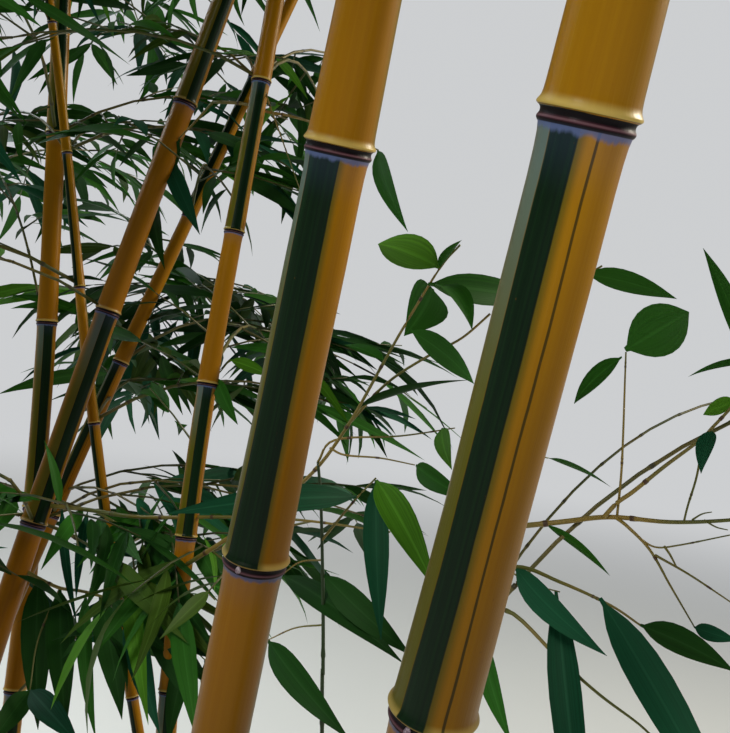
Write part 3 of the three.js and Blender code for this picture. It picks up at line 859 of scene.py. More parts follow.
CANE_GROOVES = {
    "front_right": -125, "front_middle": -113, "front_left": -70, "left": -40, "back_left": -60,
    "back_thin": -120, "back_middle": -75, "back_slanting": -100, "back_crossing": -50,
    "right_slim": 20, "right": -90,
}
CANE_BANDS = {
    "front_right": ((-20, 20), (43, 2)),
    "front_middle": ((-32, 32), (4, 0.8)),
}
OTHER_BAND = ((-28, 26), (44, 1.5))
# Painted shade: how bright each cane stays at its foot, and on some how much of it stays high up, with a
# browner cast.
FOOT_SHADE_SHARES = {"front_right": 0.5, "front_middle": 0.5, "back_crossing": 0.62}
OTHER_FOOT_SHADE_SHARE = 0.85
WEATHERED_AND_SHADED = {"back_crossing": 0.8, "back_slanting": 0.5}


def groove_angle(cane, index):
    """The side of the groove in the internode above the node of that index."""
    key = node_heights(cane).index(cane.node)
    return math.radians(CANE_GROOVES[cane.name] + 180 * ((index - key) % 2))


def cane_stations(cane, nodes):
    """The rings from the foot up: their height, the index of the node below, and their step out."""
    stations = []
    spans = [SOIL_TOP + CLEARANCE, *nodes, cane.tip[2]]
    for index, (low, high) in enumerate(zip(spans, spans[1:])):
        low_scale, high_scale = (cane_radius(cane, height) / DETAIL_RADIUS for height in (low, high))
        after_node, before_node = index > 0, index < len(nodes)
        start = low + NODE_PROFILE[-1][0] * low_scale * after_node
        end = high + NODE_PROFILE[0][0] * high_scale * before_node
        count = max(2, round((end - start) / INTERNODE_STEP))
        between = np.linspace(start, end, count + 1)[int(after_node):count + 1 - int(before_node)]
        if after_node:
            stations += [(low + up * low_scale, index - 1, out) for up, out in NODE_PROFILE if up > 0]
        stations += [(height, index - 1, 0) for height in between]
        if before_node:
            stations += [(high + up * high_scale, index - 1, out) for up, out in NODE_PROFILE if up < 0]
    return stations


def cane_mesh(cane, material):
    nodes = node_heights(cane)
    heights, index_below, swell = (np.array(column) for column in zip(*cane_stations(cane, nodes)))
    sides = NEAR_SIDES if cane.name in CANE_BANDS else FAR_SIDES
    along = cane_direction(cane, heights)
    first = units(EAST - along * along[:, :1])
    second = np.cross(along, first)
    floor_heights = np.array([SOIL_TOP, *nodes])[index_below + 1]
    roof_heights = np.array([*nodes, cane.tip[2] + GAP_LIMIT])[index_below + 1]
    scale = cane_radius(cane, heights) / DETAIL_RADIUS
    above = np.where(index_below < 0, GAP_LIMIT, (heights - floor_heights) / scale)
    below = (roof_heights - heights) / scale
    share = (heights - floor_heights) / (roof_heights - floor_heights)
    depth = GROOVE_DEPTH * np.clip((above - GROOVE_START) / GROOVE_RUN, 0, 1)
    depth = depth * np.clip(1.6 - 1.4 * share, 0.2, 1)

    angles = turns(sides)
    groove = np.array([groove_angle(cane, index) for index in index_below])
    from_groove = angles[None, :] - groove[:, None]
    wrapped = np.degrees(np.arctan2(np.sin(from_groove), np.cos(from_groove)))
    dip = np.cos(np.clip(wrapped / GROOVE_HALF_WIDTH, -1, 1) * math.pi / 2) ** 2
    lumps = LUMP_SIZE * np.sin(3 * angles[None, :] + heights[:, None] / 61) * np.sin(heights[:, None] / 37)
    radius = cane_radius(cane, heights) * (1 + swell)
    rings = radius[:, None] * (1 - depth[:, None] * dip + lumps)
    spokes = np.cos(angles)[:, None] * first[:, None] + np.sin(angles)[:, None] * second[:, None]
    points = cane_point(cane, heights)[:, None] + rings[..., None] * spokes
    points[..., 2] = np.maximum(points[..., 2], SOIL_TOP + CLEARANCE)

    age = (sum(ord(letter) for letter in cane.name) % 7) / 7
    gaps = (np.clip(values, 0, GAP_LIMIT)[:, None] for values in (above, below))
    piece = make_object(
        f"{cane.name}_cane", points, closed_faces(len(heights), sides), [material], "cane",
        [f"cane_{cane.name}"],
        {"around": triples(np.cos(from_groove), np.sin(from_groove), heights[:, None] * MM),
         "gaps": triples(*gaps, np.full(from_groove.shape, age))})
    unroll(piece.data, heights, sides)


def unroll(mesh, heights, sides):
    """A flat layout of the skin in strips side by side, one for each stretch of the cane."""
    lengths = heights - heights[0]
    strip_length = lengths[-1] / SKIN_STRIPS * 1.001
    row = np.repeat(np.arange(len(heights) - 1), sides)
    side = np.tile(np.arange(sides), len(heights) - 1)
    strip = np.floor(lengths[row] / strip_length)[:, None]
    columns = np.stack([side, side + 1, side + 1, side], 1)
    levels = np.stack([lengths[row], lengths[row], lengths[row + 1], lengths[row + 1]], 1)
    across = (strip + 0.03 + 0.94 * columns / sides) / SKIN_STRIPS
    up = 0.01 + 0.95 * (levels - strip * strip_length) / strip_length
    strips = np.stack([across, np.clip(up, 0, 1)], -1).reshape(-1, 2)
    turn = np.linspace(0, ALMOST_A_TURN, sides)
    cap = np.clip(np.stack([0.002 + 0.004 * np.cos(turn), 0.995 + 0.003 * np.sin(turn)], -1), 0, 1)
    layer = mesh.uv_layers.new(name="OFBake")
    layer.data.foreach_set("uv", np.concatenate([strips, cap, cap]).astype(np.float32).ravel())


BUD_HEIGHT = 5.5
BUD_WIDTH = 3.6
BUD_DROP = 4.6
BUD_SEAT = 1.085
BUD_LEAN = 0.6
BUD_THICKNESS = 0.55
BUD_SIDES = 10
BUD_PROFILE = ((0, 0.3), (0.12, 0.8), (0.32, 1), (0.55, 0.75), (0.8, 0.35), (1, 0.04))


def bud_mesh(canes, material):
    """A small pressed bud at the foot of the groove, above each node of the two near canes."""
    points, faces = [], []
    turn = turns(BUD_SIDES)[:, None]
    for cane in canes:
        for index, node in enumerate(node_heights(cane)):
            scale = cane_radius(cane, node) / DETAIL_RADIUS
            side = compass(groove_angle(cane, index))
            along = cane_direction(cane, node)
            outward = unit(side - along * side.dot(along))
            sideways = np.cross(along, outward)
            base = cane_point(cane, node - BUD_DROP * scale) + outward * cane_radius(cane, node) * BUD_SEAT
            faces += closed_faces(len(BUD_PROFILE), BUD_SIDES, len(points) * BUD_SIDES, flipped=True)
            for level, width in BUD_PROFILE:
                half = BUD_WIDTH / 2 * width * scale
                rise = along * BUD_HEIGHT * scale * level
                middle = base + rise - outward * level * BUD_LEAN * scale
                oval = np.cos(turn) * sideways + BUD_THICKNESS * np.sin(turn) * outward
                points.append(middle + half * oval)
    make_object("buds", points, faces, [material], "cane")


# Foliage: tubes for stems and twigs, and blades for leaves.
BLADE_PROFILE = ((0, 0.08), (0.09, 0.5), (0.25, 0.95), (0.42, 1), (0.64, 0.74), (0.84, 0.34), (1, 0.01))
BLADE_COLUMNS = (-1, 0, 1)
NEAR_PROFILE = (
    (0, 0.1), (0.04, 0.14), (0.08, 0.36), (0.13, 0.6), (0.2, 0.82), (0.29, 0.96), (0.39, 1), (0.5, 0.95),
    (0.61, 0.82), (0.72, 0.63), (0.82, 0.41), (0.91, 0.2), (0.97, 0.07), (1, 0.01),
)
NEAR_COLUMNS = (-1, -0.55, 0, 0.55, 1)
TWIG_NODE_GAP = 55
TWIG_NODE_SWELL = 0.28
TWIG_NODE = ((-3.0, 0), (-0.4, 1), (1.6, 0.8), (5.0, 0))


def frames_along(line):
    """Two directions square to a line of points, for each of them."""
    along = units(np.gradient(line, axis=0))
    helper = np.where(np.abs(along[:, 2:3]) < 0.8, UP, EAST)
    first = units(np.cross(helper, along))
    return first, np.cross(along, first)


def with_twig_nodes(stops):
    """The stops along a twig with those of its small nodes, and how far each swells."""
    node_stops = np.arange(TWIG_NODE_GAP * 0.6, stops[-1] - 8, TWIG_NODE_GAP)
    offsets, swells = np.array(TWIG_NODE).T
    marks = np.concatenate([np.zeros(len(stops)), np.tile(swells, len(node_stops))])
    stops = np.concatenate([stops, (node_stops[:, None] + offsets).ravel()])
    order = np.argsort(stops)
    return stops[order], marks[order]


class Foliage:
    """The tubes and blades of one piece, gathered before they become meshes."""

    def __init__(self):
        self.tube_points, self.tube_faces, self.tube_runs, self.tube_count = [], [], [], 0
        self.leaves = []

    def tube(self, line, start_radius, end_radius, sides, with_nodes=True, green=0.0):
        line = np.asarray(line, dtype=float)
        lengths = np.concatenate([[0], np.cumsum(sizes(np.diff(line, axis=0)))])
        stops, marks = with_twig_nodes(lengths) if with_nodes else (lengths, np.zeros(len(lengths)))
        middle = np.stack([np.interp(stops, lengths, line[:, axis]) for axis in range(3)], -1)
        first, second = frames_along(middle)
        radius = np.interp(stops, [0, lengths[-1]], [start_radius, end_radius])
        radius = radius * (1 + TWIG_NODE_SWELL * marks)
        turn = turns(sides)[:, None]
        ring = np.cos(turn) * first[:, None] + np.sin(turn) * second[:, None]
        points = middle[:, None] + radius[:, None, None] * ring
        self.tube_points.append(points.reshape(-1, 3))
        self.tube_runs.append(np.repeat(triples(stops, marks, green), sides, axis=0))
        self.tube_faces += closed_faces(len(stops), sides, self.tube_count)
        self.tube_count += len(stops) * sides

    def leaf(self, root, direction, across, shape, tint):
        """A blade whose shape is its length, width, bend, fold, twist and chance."""
        self.leaves.append((root, direction, across, shape, tint))

    def twig_piece(self, name, material):
        make_object(name, np.concatenate(self.tube_points), self.tube_faces, [material], "leaf",
                    attributes={"run": np.concatenate(self.tube_runs)})

    def leaf_piece(self, name, materials, nodes=(), profile=BLADE_PROFILE, columns=BLADE_COLUMNS):
        root, direction, across, shape = (
            np.array(values)[:, None, None] for values in list(zip(*self.leaves))[:4])
        tints = np.array([leaf[4] for leaf in self.leaves])
        length, width, bend, fold, twist, chance = (shape[..., [i]] for i in range(6))
        stations, halves = (values[None, :, None, None] for values in np.array(profile).T)
        column = np.array(columns, dtype=float)[None, None, :, None]
        normal = np.cross(direction, across)
        bent = bend * stations
        run = direction * np.sin(bent) / bend - normal * (1 - np.cos(bent)) / bend
        facing = normal * np.cos(bent) + direction * np.sin(bent)
        level = across * np.cos(twist * stations) + facing * np.sin(twist * stations)
        upright = facing * np.cos(twist * stations) - across * np.sin(twist * stations)
        edge = level * np.cos(fold) * column + upright * np.sin(fold) * np.abs(column)
        points = root + run * length + edge * (halves * width / 2)
        count, rows, wide = points.shape[:3]
        row = np.arange(rows - 1)[:, None] * wide
        side = np.arange(wide - 1)
        quad = np.stack([row + side, row + side + 1, row + wide + side + 1, row + wide + side], -1)
        faces = np.arange(count)[:, None, None] * rows * wide + quad.reshape(1, -1, 4)
        make_object(name, points, [faces.reshape(-1, 4)], materials, "leaf", nodes,
                    {"blade": triples(column, stations, chance)},
                    np.repeat(tints, (rows - 1) * (wide - 1)))


# Where generic foliage keeps out of the camera's way: in front of the near canes, and right of
# them, where the photograph is open. The stretches of the canes behind that show clear of leaves
# are given as rows of the photograph.
NEAR_DEPTH = 600
OPEN_FROM = 392
OPEN_SLANT = -0.2
FRAME_MARGIN = 25
BEHIND_DEPTH = 980
BEHIND_ACROSS = 480
BEHIND_DOWN = 250
CLEAR_STRETCHES = {"back_left": (-30, 400), "back_crossing": (-30, 640), "back_middle": (-30, 300)}
CLEAR_MARGIN = 9
SIGHT_HEIGHTS = np.arange(1700.0, 800.0, -10.0)
LEAF_CLEARANCE = 2


def in_the_way(points):
    across, down, depth = to_pixel(points)
    framed = (depth > 0) & (across > -FRAME_MARGIN) & (across < PHOTO_WIDTH + FRAME_MARGIN)
    framed &= (down > -FRAME_MARGIN) & (down < PHOTO_HEIGHT + FRAME_MARGIN)
    window = across > OPEN_FROM + OPEN_SLANT * down
    behind = (depth > BEHIND_DEPTH) & (across < BEHIND_ACROSS) & (down > BEHIND_DOWN)
    return framed & ((depth < NEAR_DEPTH) | window & ~behind)


def before_a_clear_stretch(points):
    across, down, depth = to_pixel(points)
    hides = np.zeros(len(points), dtype=bool)
    for cane in CANES:
        if cane.name in CLEAR_STRETCHES:
            top, bottom = CLEAR_STRETCHES[cane.name]
            cane_across, cane_down, cane_depth = to_pixel(cane_point(cane, SIGHT_HEIGHTS))
            middle = np.interp(down, cane_down, cane_across)
            limit = np.interp(down, cane_down, cane_depth)
            half = cane.diameter / 2 * PIXELS_PER_SLOPE / limit + CLEAR_MARGIN
            beside = (down > top) & (down < bottom) & (abs(across - middle) < half)
            hides |= (depth > 0) & (depth < limit) & beside
    return hides


def touches_a_cane(points):
    hit = np.zeros(len(points), dtype=bool)
    for cane in CANES:
        inside = (points[:, 2] <= cane.tip[2]) & (points[:, 2] >= SOIL_TOP)
        heights = np.clip(points[:, 2], SOIL_TOP, cane.tip[2])
        allowed = cane_radius(cane, heights) * NODE_SWELL + LEAF_CLEARANCE
        hit |= inside & (sizes(cane_point(cane, heights) - points) < allowed)
    return hit


# Sprays: a fine twig with leaves of life size. The spreads are lowest and highest values.
LEAF_SHAPE = 0.135
LEAF_LIMITS = (72, 152)
LEAF_LENGTHS = (0.8, 1.12)
LEAF_WIDTHS = (0.85, 1.2)
LEAF_ANGLES = (28, 58)
LEAF_DROOPS = (-0.05, 0.3)
LEAF_ROLLS = (-0.9, 0.9)
LEAF_BENDS = (0.15, 0.9)
LEAF_FOLDS = (0.05, 0.4)
LEAF_TWISTS = (-0.7, 0.7)
LEAF_CHECKS = (0.15, 0.5, 0.9)
FIRST_LEAF = 0.3
SAME_TINT = 0.85
TWIGLET_SHARE = 0.46
TWIGLET_RADII = (1.32, 0.66)
FINE_REACH = (120, 230)
FINE_ANGLES = (25, 65)
FINE_RISES = (-0.45, 0.4)
FINE_TILTS = (-0.3, 0.3)
SPRAY_COUNTS = (5, 8)
FINE_COUNTS = (4, 8)


def pick_tint(rng):
    """A tint for one spray, with the deeper greens the commonest."""
    return int(rng.choice(len(TINT_SHARES), p=list(TINT_SHARES.values())))


def level_across(direction, otherwise):
    """A level direction square to the given one, or the other where that stands upright."""
    sideways = np.cross(UP, direction)
    return unit(sideways) if np.linalg.norm(sideways) > 0.1 else otherwise


def add_spray(store, root, tip, flat, rng, count):
    """A fine twig from root with narrow leaves to both sides, whose last leaf ends at the tip."""
    span = tip - root
    reach = np.linalg.norm(span)
    direction = span / reach
    end = root + span * TWIGLET_SHARE - UP * reach * 0.02
    tint = pick_tint(rng)
    places, leaves = [], []
    for number in range(count):
        last = number == count - 1
        place = 1.0 if last else FIRST_LEAF + (1 - FIRST_LEAF) * (number + 0.5 * rng.random()) / count
        angle = 0.0 if last else alternate(number) * math.radians(rng.uniform(*LEAF_ANGLES))
        base = root + (end - root) * place
        heading = direction * math.cos(angle) + flat * math.sin(angle)
        heading = unit(heading - UP * rng.uniform(*LEAF_DROOPS))
        length = np.clip(reach * (1 - TWIGLET_SHARE) * rng.uniform(*LEAF_LENGTHS), *LEAF_LIMITS)
        across = turned(level_across(heading, flat), heading, rng.uniform(*LEAF_ROLLS))
        width = length * LEAF_SHAPE * rng.uniform(*LEAF_WIDTHS)
        leaf_tint = tint if rng.random() < SAME_TINT else pick_tint(rng)
        bend, fold, twist = (rng.uniform(*spread) for spread in (LEAF_BENDS, LEAF_FOLDS, LEAF_TWISTS))
        leaves.append((base, heading, across, (length, width, bend, fold, twist, rng.random()), leaf_tint))
        places += [base + heading * length * part for part in LEAF_CHECKS]
    places = np.array(places)
    bad = in_the_way(places) | touches_a_cane(places) | before_a_clear_stretch(places)
    bad = bad.reshape(count, -1).any(axis=1)
    if bad.mean() > 0.5 or in_the_way(np.array([root, end])).any():
        return
    middle = (root + end) / 2 + UP * reach * 0.015
    store.tube([root, middle, end], *TWIGLET_RADII, 3, with_nodes=False, green=0.75)
    for blocked, leaf in zip(bad, leaves):
        if not blocked:
            store.leaf(*leaf)


def side_spray(store, point, along, side, rng):
    flat = level_across(along, EAST)
    angle = math.radians(rng.uniform(*FINE_ANGLES)) * side
    heading = unit(along * math.cos(angle) + flat * math.sin(angle) + UP * rng.uniform(*FINE_RISES))
    across = unit(np.cross(heading, UP) + UP * rng.uniform(*FINE_TILTS))
    tip = point + heading * rng.uniform(*FINE_REACH)
    add_spray(store, point, tip, across, rng, int(rng.integers(*FINE_COUNTS)))


# The source's stems are stout enough to be cut as solids; these are as slim as real ones.
STEM_SLIMMED = 0.28
STEM_TIP_RADIUS = 1.1
STEM_STEPS = 14
STEM_SEAT = 2
TWIG_STEPS = 6
TWIG_BOW = 0.04
TWIG_RADII = (1.5, 0.8)
LOOSE_GAP = 25
STEM_SPRAYS = (0.16, 0.24, 0.32, 0.4, 0.47, 0.54, 0.61, 0.68, 0.75, 0.82, 0.89, 0.96)
TWIG_SPRAYS = (0.22, 0.38, 0.54, 0.7, 0.86, 1.0)


def open_share(mass):
    """How far the stem runs before it enters the part of the view that the photograph leaves open."""
    shares = np.linspace(0, 1, STEM_STEPS)
    blocked = in_the_way(np.array([mass.curve(share) for share in shares]))
    return 1.0 if blocked[0] or not blocked.any() else shares[blocked.argmax()]


def nearest_on(limbs, point):
    """The nearest point on the limbs, and how far away it is."""
    starts = np.concatenate([limb[:-1] for limb in limbs])
    runs = np.concatenate([np.diff(limb, axis=0) for limb in limbs])
    shares = ((point - starts) * runs).sum(-1) / (runs * runs).sum(-1)
    places = starts + np.clip(shares, 0, 1)[:, None] * runs
    gaps = sizes(places - point)
    return places[gaps.argmin()], gaps.min()


def dress_mass(store, mass, masses, seed):
    """The source's stem, twigs and sprays, carried on to finer twigs and to leaves of life size.

    A stem ends where the open part of the view starts, and what a missing limb carried is left out.
    """
    twigs, sprays = grow(mass, masses, seed)
    rng = np.random.default_rng(seed)
    shown = open_share(mass)
    line = np.array([mass.curve(share) for share in np.linspace(0, shown, STEM_STEPS)])
    line[0] = mass.start - mass.facing * STEM_SEAT
    store.tube(line, mass.radius * STEM_SLIMMED, STEM_TIP_RADIUS, 7, green=0.5)
    limbs = [line]
    for start, end in twigs:
        start, gap = nearest_on([line], start)
        bow = UP * np.linalg.norm(end - start) * TWIG_BOW
        shares = np.linspace(0, 1, TWIG_STEPS)[:, None]
        run = start + (end - start) * shares + bow * np.sin(math.pi * shares)
        if gap > LOOSE_GAP or in_the_way(run[1:]).any():
            continue
        store.tube(run, *TWIG_RADII, 5, green=0.6)
        limbs.append(run)
        for number, share in enumerate(TWIG_SPRAYS):
            root, _ = nearest_on([run], start + (end - start) * share)
            side_spray(store, root, unit(end - start), alternate(number), rng)
    for root, tip, across in sprays:
        root, gap = nearest_on(limbs, root)
        if gap < LOOSE_GAP:
            add_spray(store, root, tip, across, rng, int(rng.integers(*SPRAY_COUNTS)))
    for number, share in enumerate(STEM_SPRAYS):
        if share < shown:
            side_spray(store, mass.curve(share), mass.direction(share), alternate(number), rng)


# The small branches at nodes that carry no mass, in millimetres and degrees from the groove.
BRANCHES = ((350, -28, 1.9), (240, 26, 1.5), (300, 80, 1.5))
BRANCH_END_RADIUS = 0.8
BRANCH_STEPS = 6
BRANCH_BOW = (0.2, -0.45)
BRANCH_SWING = (-12, 12)
BRANCH_REACH = (0.75, 1.15)
BRANCH_RISE = (0.5, 1.0)
BRANCH_ABOVE = 4
BRANCH_SEAT = 0.8
BRANCH_FROM = 880
NEAR_BRANCH_FROM = 1600
BRANCH_SPRAYS = (0.35, 0.5, 0.65, 0.8, 0.92, 1.0)
TAKEN_GAP = 20
SLIM_CANE = 16
SLIM_SHARE = 0.7


def dress_nodes(store, cane, masses, seed):
    """Small branches at each node that carries no mass, on the side of its groove."""
    rng = np.random.default_rng(seed)
    taken = [mass.start[2] for mass in masses if mass.cane is cane]
    lowest = NEAR_BRANCH_FROM if cane.name in CANE_BANDS else BRANCH_FROM
    slim_share = SLIM_SHARE if cane.diameter < SLIM_CANE else 1
    shares = np.linspace(0, 1, BRANCH_STEPS + 1)[:, None]
    for index, node in enumerate(node_heights(cane)):
        if node < lowest or min(abs(node - height) for height in taken) < TAKEN_GAP:
            continue
        for full, turn, radius in BRANCHES:
            outward = compass(groove_angle(cane, index) + math.radians(turn + rng.uniform(*BRANCH_SWING)))
            start = cane_point(cane, node + BRANCH_ABOVE) + outward * cane_radius(cane, node) * BRANCH_SEAT
            reach = full * rng.uniform(*BRANCH_REACH) * slim_share
            first = unit(outward + UP * rng.uniform(*BRANCH_RISE))
            line = start + first * reach * shares + out_and_up(outward, BRANCH_BOW) * reach * shares ** 2
            touching = touches_a_cane(line[2:]).any()
            if in_the_way(line[1:]).any() or touching or before_a_clear_stretch(line[3:]).any():
                continue
            store.tube(line, radius, BRANCH_END_RADIUS, 5, green=0.5)
            for number, share in enumerate(BRANCH_SPRAYS):
                place = share * BRANCH_STEPS
                low = min(int(place), BRANCH_STEPS - 1)
                point = line[low] * (1 - place + low) + line[low + 1] * (place - low)
                side_spray(store, point, unit(line[low + 1] - line[low]), alternate(number), rng)


# Twigs and leaves near the camera, placed by pixels of the photograph and depths in millimetres.
# A twig is its points and its first and last radius.
NEAR_TWIGS = [
    ([(183, 567, 812), (240, 530, 760), (305, 480, 690), (345, 430, 640), (385, 360, 600), (405, 325, 580),
      (440, 268, 560), (460, 245, 550)], 1.9, 0.6),
    ([(345, 428, 640), (386, 384, 618), (430, 355, 606), (462, 338, 600), (490, 314, 590)], 1.0, 0.7),
    ([(318, 462, 672), (335, 440, 660), (400, 436, 650), (455, 428, 640)], 0.9, 0.4),
    ([(330, 448, 656), (345, 455, 650), (380, 458, 646), (415, 465, 640)], 0.8, 0.4),
    ([(45, 505, 916), (90, 510, 880), (140, 517, 850), (230, 517, 800), (300, 520, 760),
      (390, 532, 720)], 2.2, 0.7),
    ([(95, 511, 876), (145, 540, 850), (185, 570, 830), (215, 600, 820)], 1.2, 0.5),
    ([(490, 529, 613), (560, 522, 610), (610, 517, 590), (670, 522, 570), (730, 520, 555),
      (800, 512, 540)], 1.9, 0.8),
    ([(617, 517, 588), (621, 478, 584), (623, 440, 580), (625, 380, 578), (626, 352, 576)], 0.8, 0.5),
    ([(615, 517, 588), (628, 527, 580), (650, 550, 572), (670, 585, 566), (695, 628, 560)], 1.1, 0.4),
    ([(655, 555, 570), (690, 575, 566), (735, 605, 560)], 0.8, 0.4),
    ([(475, 590, 620), (515, 567, 600), (560, 582, 580), (610, 605, 560), (640, 625, 560)], 1.6, 0.6),
    ([(470, 640, 612), (505, 610, 596), (560, 660, 575), (600, 695, 565), (640, 725, 560),
      (665, 750, 555)], 1.5, 0.6),
    ([(603, 518, 589), (617, 503, 585), (634, 491, 580), (665, 466, 572), (700, 440, 566), (712, 428, 562),
      (736, 401, 560), (752, 368, 560), (775, 345, 560)], 1.4, 0.6),
    ([(703, 438, 565), (697, 475, 566), (688, 505, 566), (684, 521, 566)], 0.7, 0.6),
    ([(546, 290, 624), (585, 275, 630), (602, 266, 622)], 1.0, 0.6),
    ([(637, 536, 577), (655, 547, 571), (680, 545, 566), (730, 535, 560)], 0.6, 0.4),
    ([(664, 546, 569), (669, 553, 568), (676, 566, 567)], 0.8, 0.5),
    ([(508, 570, 603), (532, 584, 597), (560, 592, 590)], 0.6, 0.4),
    ([(692, 520, 564), (702, 514, 562), (712, 512, 560)], 0.6, 0.3),
    ([(704, 520, 560), (716, 527, 558), (728, 530, 556)], 0.6, 0.3),
    ([(213, 102, 905), (245, 104, 880), (268, 112, 860), (290, 116, 845), (330, 128, 780),
      (378, 150, 700)], 1.6, 0.5),
    ([(262, 74, 857), (268, 100, 848), (278, 128, 830), (300, 190, 790)], 0.8, 0.4),
    ([(322, 540, 676), (355, 500, 672), (376, 478, 668)], 1.0, 0.6),
    ([(323, 560, 677), (300, 562, 700), (282, 575, 720)], 0.7, 0.4),
    ([(323, 625, 682), (295, 628, 692), (268, 640, 700)], 0.7, 0.4),
    ([(504, 462, 616), (530, 455, 630), (548, 458, 636)], 0.8, 0.4),
    ([(207, 387, 831), (220, 372, 835), (230, 360, 840)], 0.8, 0.4),
    ([(19, 567, 903), (38, 578, 898), (60, 588, 890), (86, 592, 870), (130, 606, 850), (165, 622, 830),
      (205, 660, 800)], 1.8, 0.5),
    ([(60, 588, 890), (38, 640, 870), (30, 690, 850)], 1.0, 0.5),
    ([(213, 102, 905), (195, 122, 930), (170, 150, 960), (150, 190, 980)], 1.2, 0.5),
]
# A leaf is its root, its tip, its width in millimetres, its roll in degrees, its bend and its tint.
NEAR_LEAVES = [
    ((440, 268, 560), (378, 244, 500), 21, -22, 0.5, FRESH),
    ((428, 284, 562), (545, 300, 620), 18, -10, 0.3, GREEN),
    ((432, 288, 562), (404, 336, 606), 28, 24, 0.7, GREEN),
    ((436, 287, 562), (472, 330, 530), 15, -50, 1.4, GREEN),
    ((410, 330, 582), (474, 384, 530), 15, 30, 0.5, GREEN),
    ((357, 408, 628), (471, 380, 585), 13, 66, 0.3, DEEP),
    ((440, 268, 558), (462, 240, 530), 8, 60, 0.4, GREEN),
    ((358, 497, 672), (166, 514, 610), 19, 20, 0.5, BLUISH),
    ((376, 480, 668), (437, 592, 600), 20, -10, 0.8, FRESH),
    ((376, 480, 668), (381, 640, 630), 17, 10, 0.5, BLUISH),
    ((323, 574, 679), (412, 656, 650), 19, 10, 0.6, DEEP),
    ((282, 575, 720), (404, 664, 640), 18, -20, 0.6, DEEP),
    ((268, 640, 700), (350, 740, 640), 20, 15, 0.6, DEEP),
    ((480, 631, 607), (512, 745, 540), 14, 30, 0.4, GREEN),
    ((442, 428, 640), (452, 470, 600), 12, 25, 0.6, FRESH),
    ((416, 465, 640), (470, 500, 590), 14, 20, 0.6, GREEN),
    ((586, 274, 629), (677, 299, 590), 16, 35, 0.4, GREEN),
    ((625, 350, 576), (689, 312, 516), 30, 0, 0.5, GREEN),
    ((622, 357, 577), (574, 404, 610), 12, 35, 0.6, GREEN),
    ((752, 368, 560), (703, 248, 590), 12, 25, 0.4, GREEN),
    ((756, 362, 560), (688, 377, 600), 9, 66, 0.4, GREEN),
    ((736, 401, 560), (703, 415, 580), 10, 35, 0.4, FRESH),
    ((711, 430, 563), (701, 474, 545), 11, 20, 0.6, BLUISH),
    ((548, 458, 640), (612, 488, 600), 7, 60, 0.3, GREEN),
    ((515, 567, 600), (607, 656, 540), 17, 25, 0.6, BLUISH),
    ((556, 591, 591), (590, 890, 520), 19, 8, 0.3, BLUISH),
    ((600, 598, 562), (748, 860, 480), 22, -14, 0.4, BLUISH),
    ((640, 625, 560), (735, 672, 530), 17, 25, 0.5, DEEP),
    ((545, 524, 611), (610, 576, 600), 8, 50, 0.4, GREEN),
    ((378, 150, 700), (408, 232, 640), 15, 25, 0.5, GREEN),
    ((385, 361, 601), (344, 345, 630), 9, 50, 0.4, GREEN),
    ((694, 627, 560), (738, 641, 540), 9, 15, 0.4, BLUISH),
    ((62, 507, 902), (77, 625, 860), 9, 20, 0.5, BLUISH),
    ((88, 510, 882), (76, 600, 860), 9, 20, 0.5, BLUISH),
    ((145, 541, 849), (216, 650, 760), 24, 10, 0.6, DEEP),
    ((38, 578, 898), (38, 730, 850), 26, 10, 0.5, DEEP),
    ((30, 690, 850), (-10, 745, 800), 20, 10, 0.5, DEEP),
    ((112, 600, 857), (172, 655, 800), 18, 10, 0.6, DEEP),
    ((165, 622, 830), (216, 690, 760), 18, 20, 0.6, DEEP),
    ((86, 592, 870), (96, 740, 800), 14, 30, 0.5, GREEN),
    ((60, 588, 890), (66, 733, 820), 24, 10, 0.5, DEEP),
    ((100, 597, 863), (122, 720, 800), 24, -10, 0.5, DEEP),
    ((130, 606, 850), (160, 735, 780), 22, 15, 0.5, BLUISH),
    ((150, 614, 840), (200, 715, 770), 20, 10, 0.6, DEEP),
    ((185, 640, 815), (245, 664, 765), 18, -15, 0.5, BLUISH),
    ((205, 660, 800), (240, 745, 740), 20, 10, 0.5, DEEP),
    ((190, 645, 811), (168, 745, 780), 18, 20, 0.5, DEEP),
    ((30, 690, 850), (80, 745, 800), 22, 0, 0.5, BLUISH),
    ((180, 139, 946), (134, 215, 960), 20, 10, 0.5, DEEP),
    ((166, 158, 964), (200, 235, 940), 18, 0, 0.5, BLUISH),
    ((150, 190, 980), (165, 270, 950), 16, 20, 0.5, DEEP),
    ((60, 507, 903), (44, 440, 905), 11, 35, 0.4, GREEN),
    ((216, 377, 833), (238, 425, 820), 13, 20, 0.6, GREEN),
    ((230, 360, 840), (270, 376, 820), 12, 20, 0.5, FRESH),
]
# A slim shoot that rises from the soil between the near canes and carries the fine twigs there.
SHOOT_FOOT = (228, -5, 494)
SHOOT_PIXELS = ((322, 733, 690), (323, 670, 685), (323, 600, 680), (321, 505, 674), (318, 462, 672))
SHOOT_RADII = (2.4, 1.0)
NEAR_SEED = 77
NEAR_FOLDS = (0.1, 0.3)
NEAR_TWISTS = (-0.3, 0.3)
CURVE_STEPS = 6


def smooth_line(points):
    """A curve through the points."""
    padded = np.concatenate([[2 * points[0] - points[1]], points, [2 * points[-1] - points[-2]]])
    line = [points[0]]
    for a, b, c, d in zip(padded, padded[1:], padded[2:], padded[3:]):
        for step in range(1, CURVE_STEPS + 1):
            t = step / CURVE_STEPS
            square = 2 * a - 5 * b + 4 * c - d
            cube = 3 * b - a - 3 * c + d
            line.append(0.5 * (2 * b + (c - a) * t + square * t * t + cube * t ** 3))
    return np.array(line)


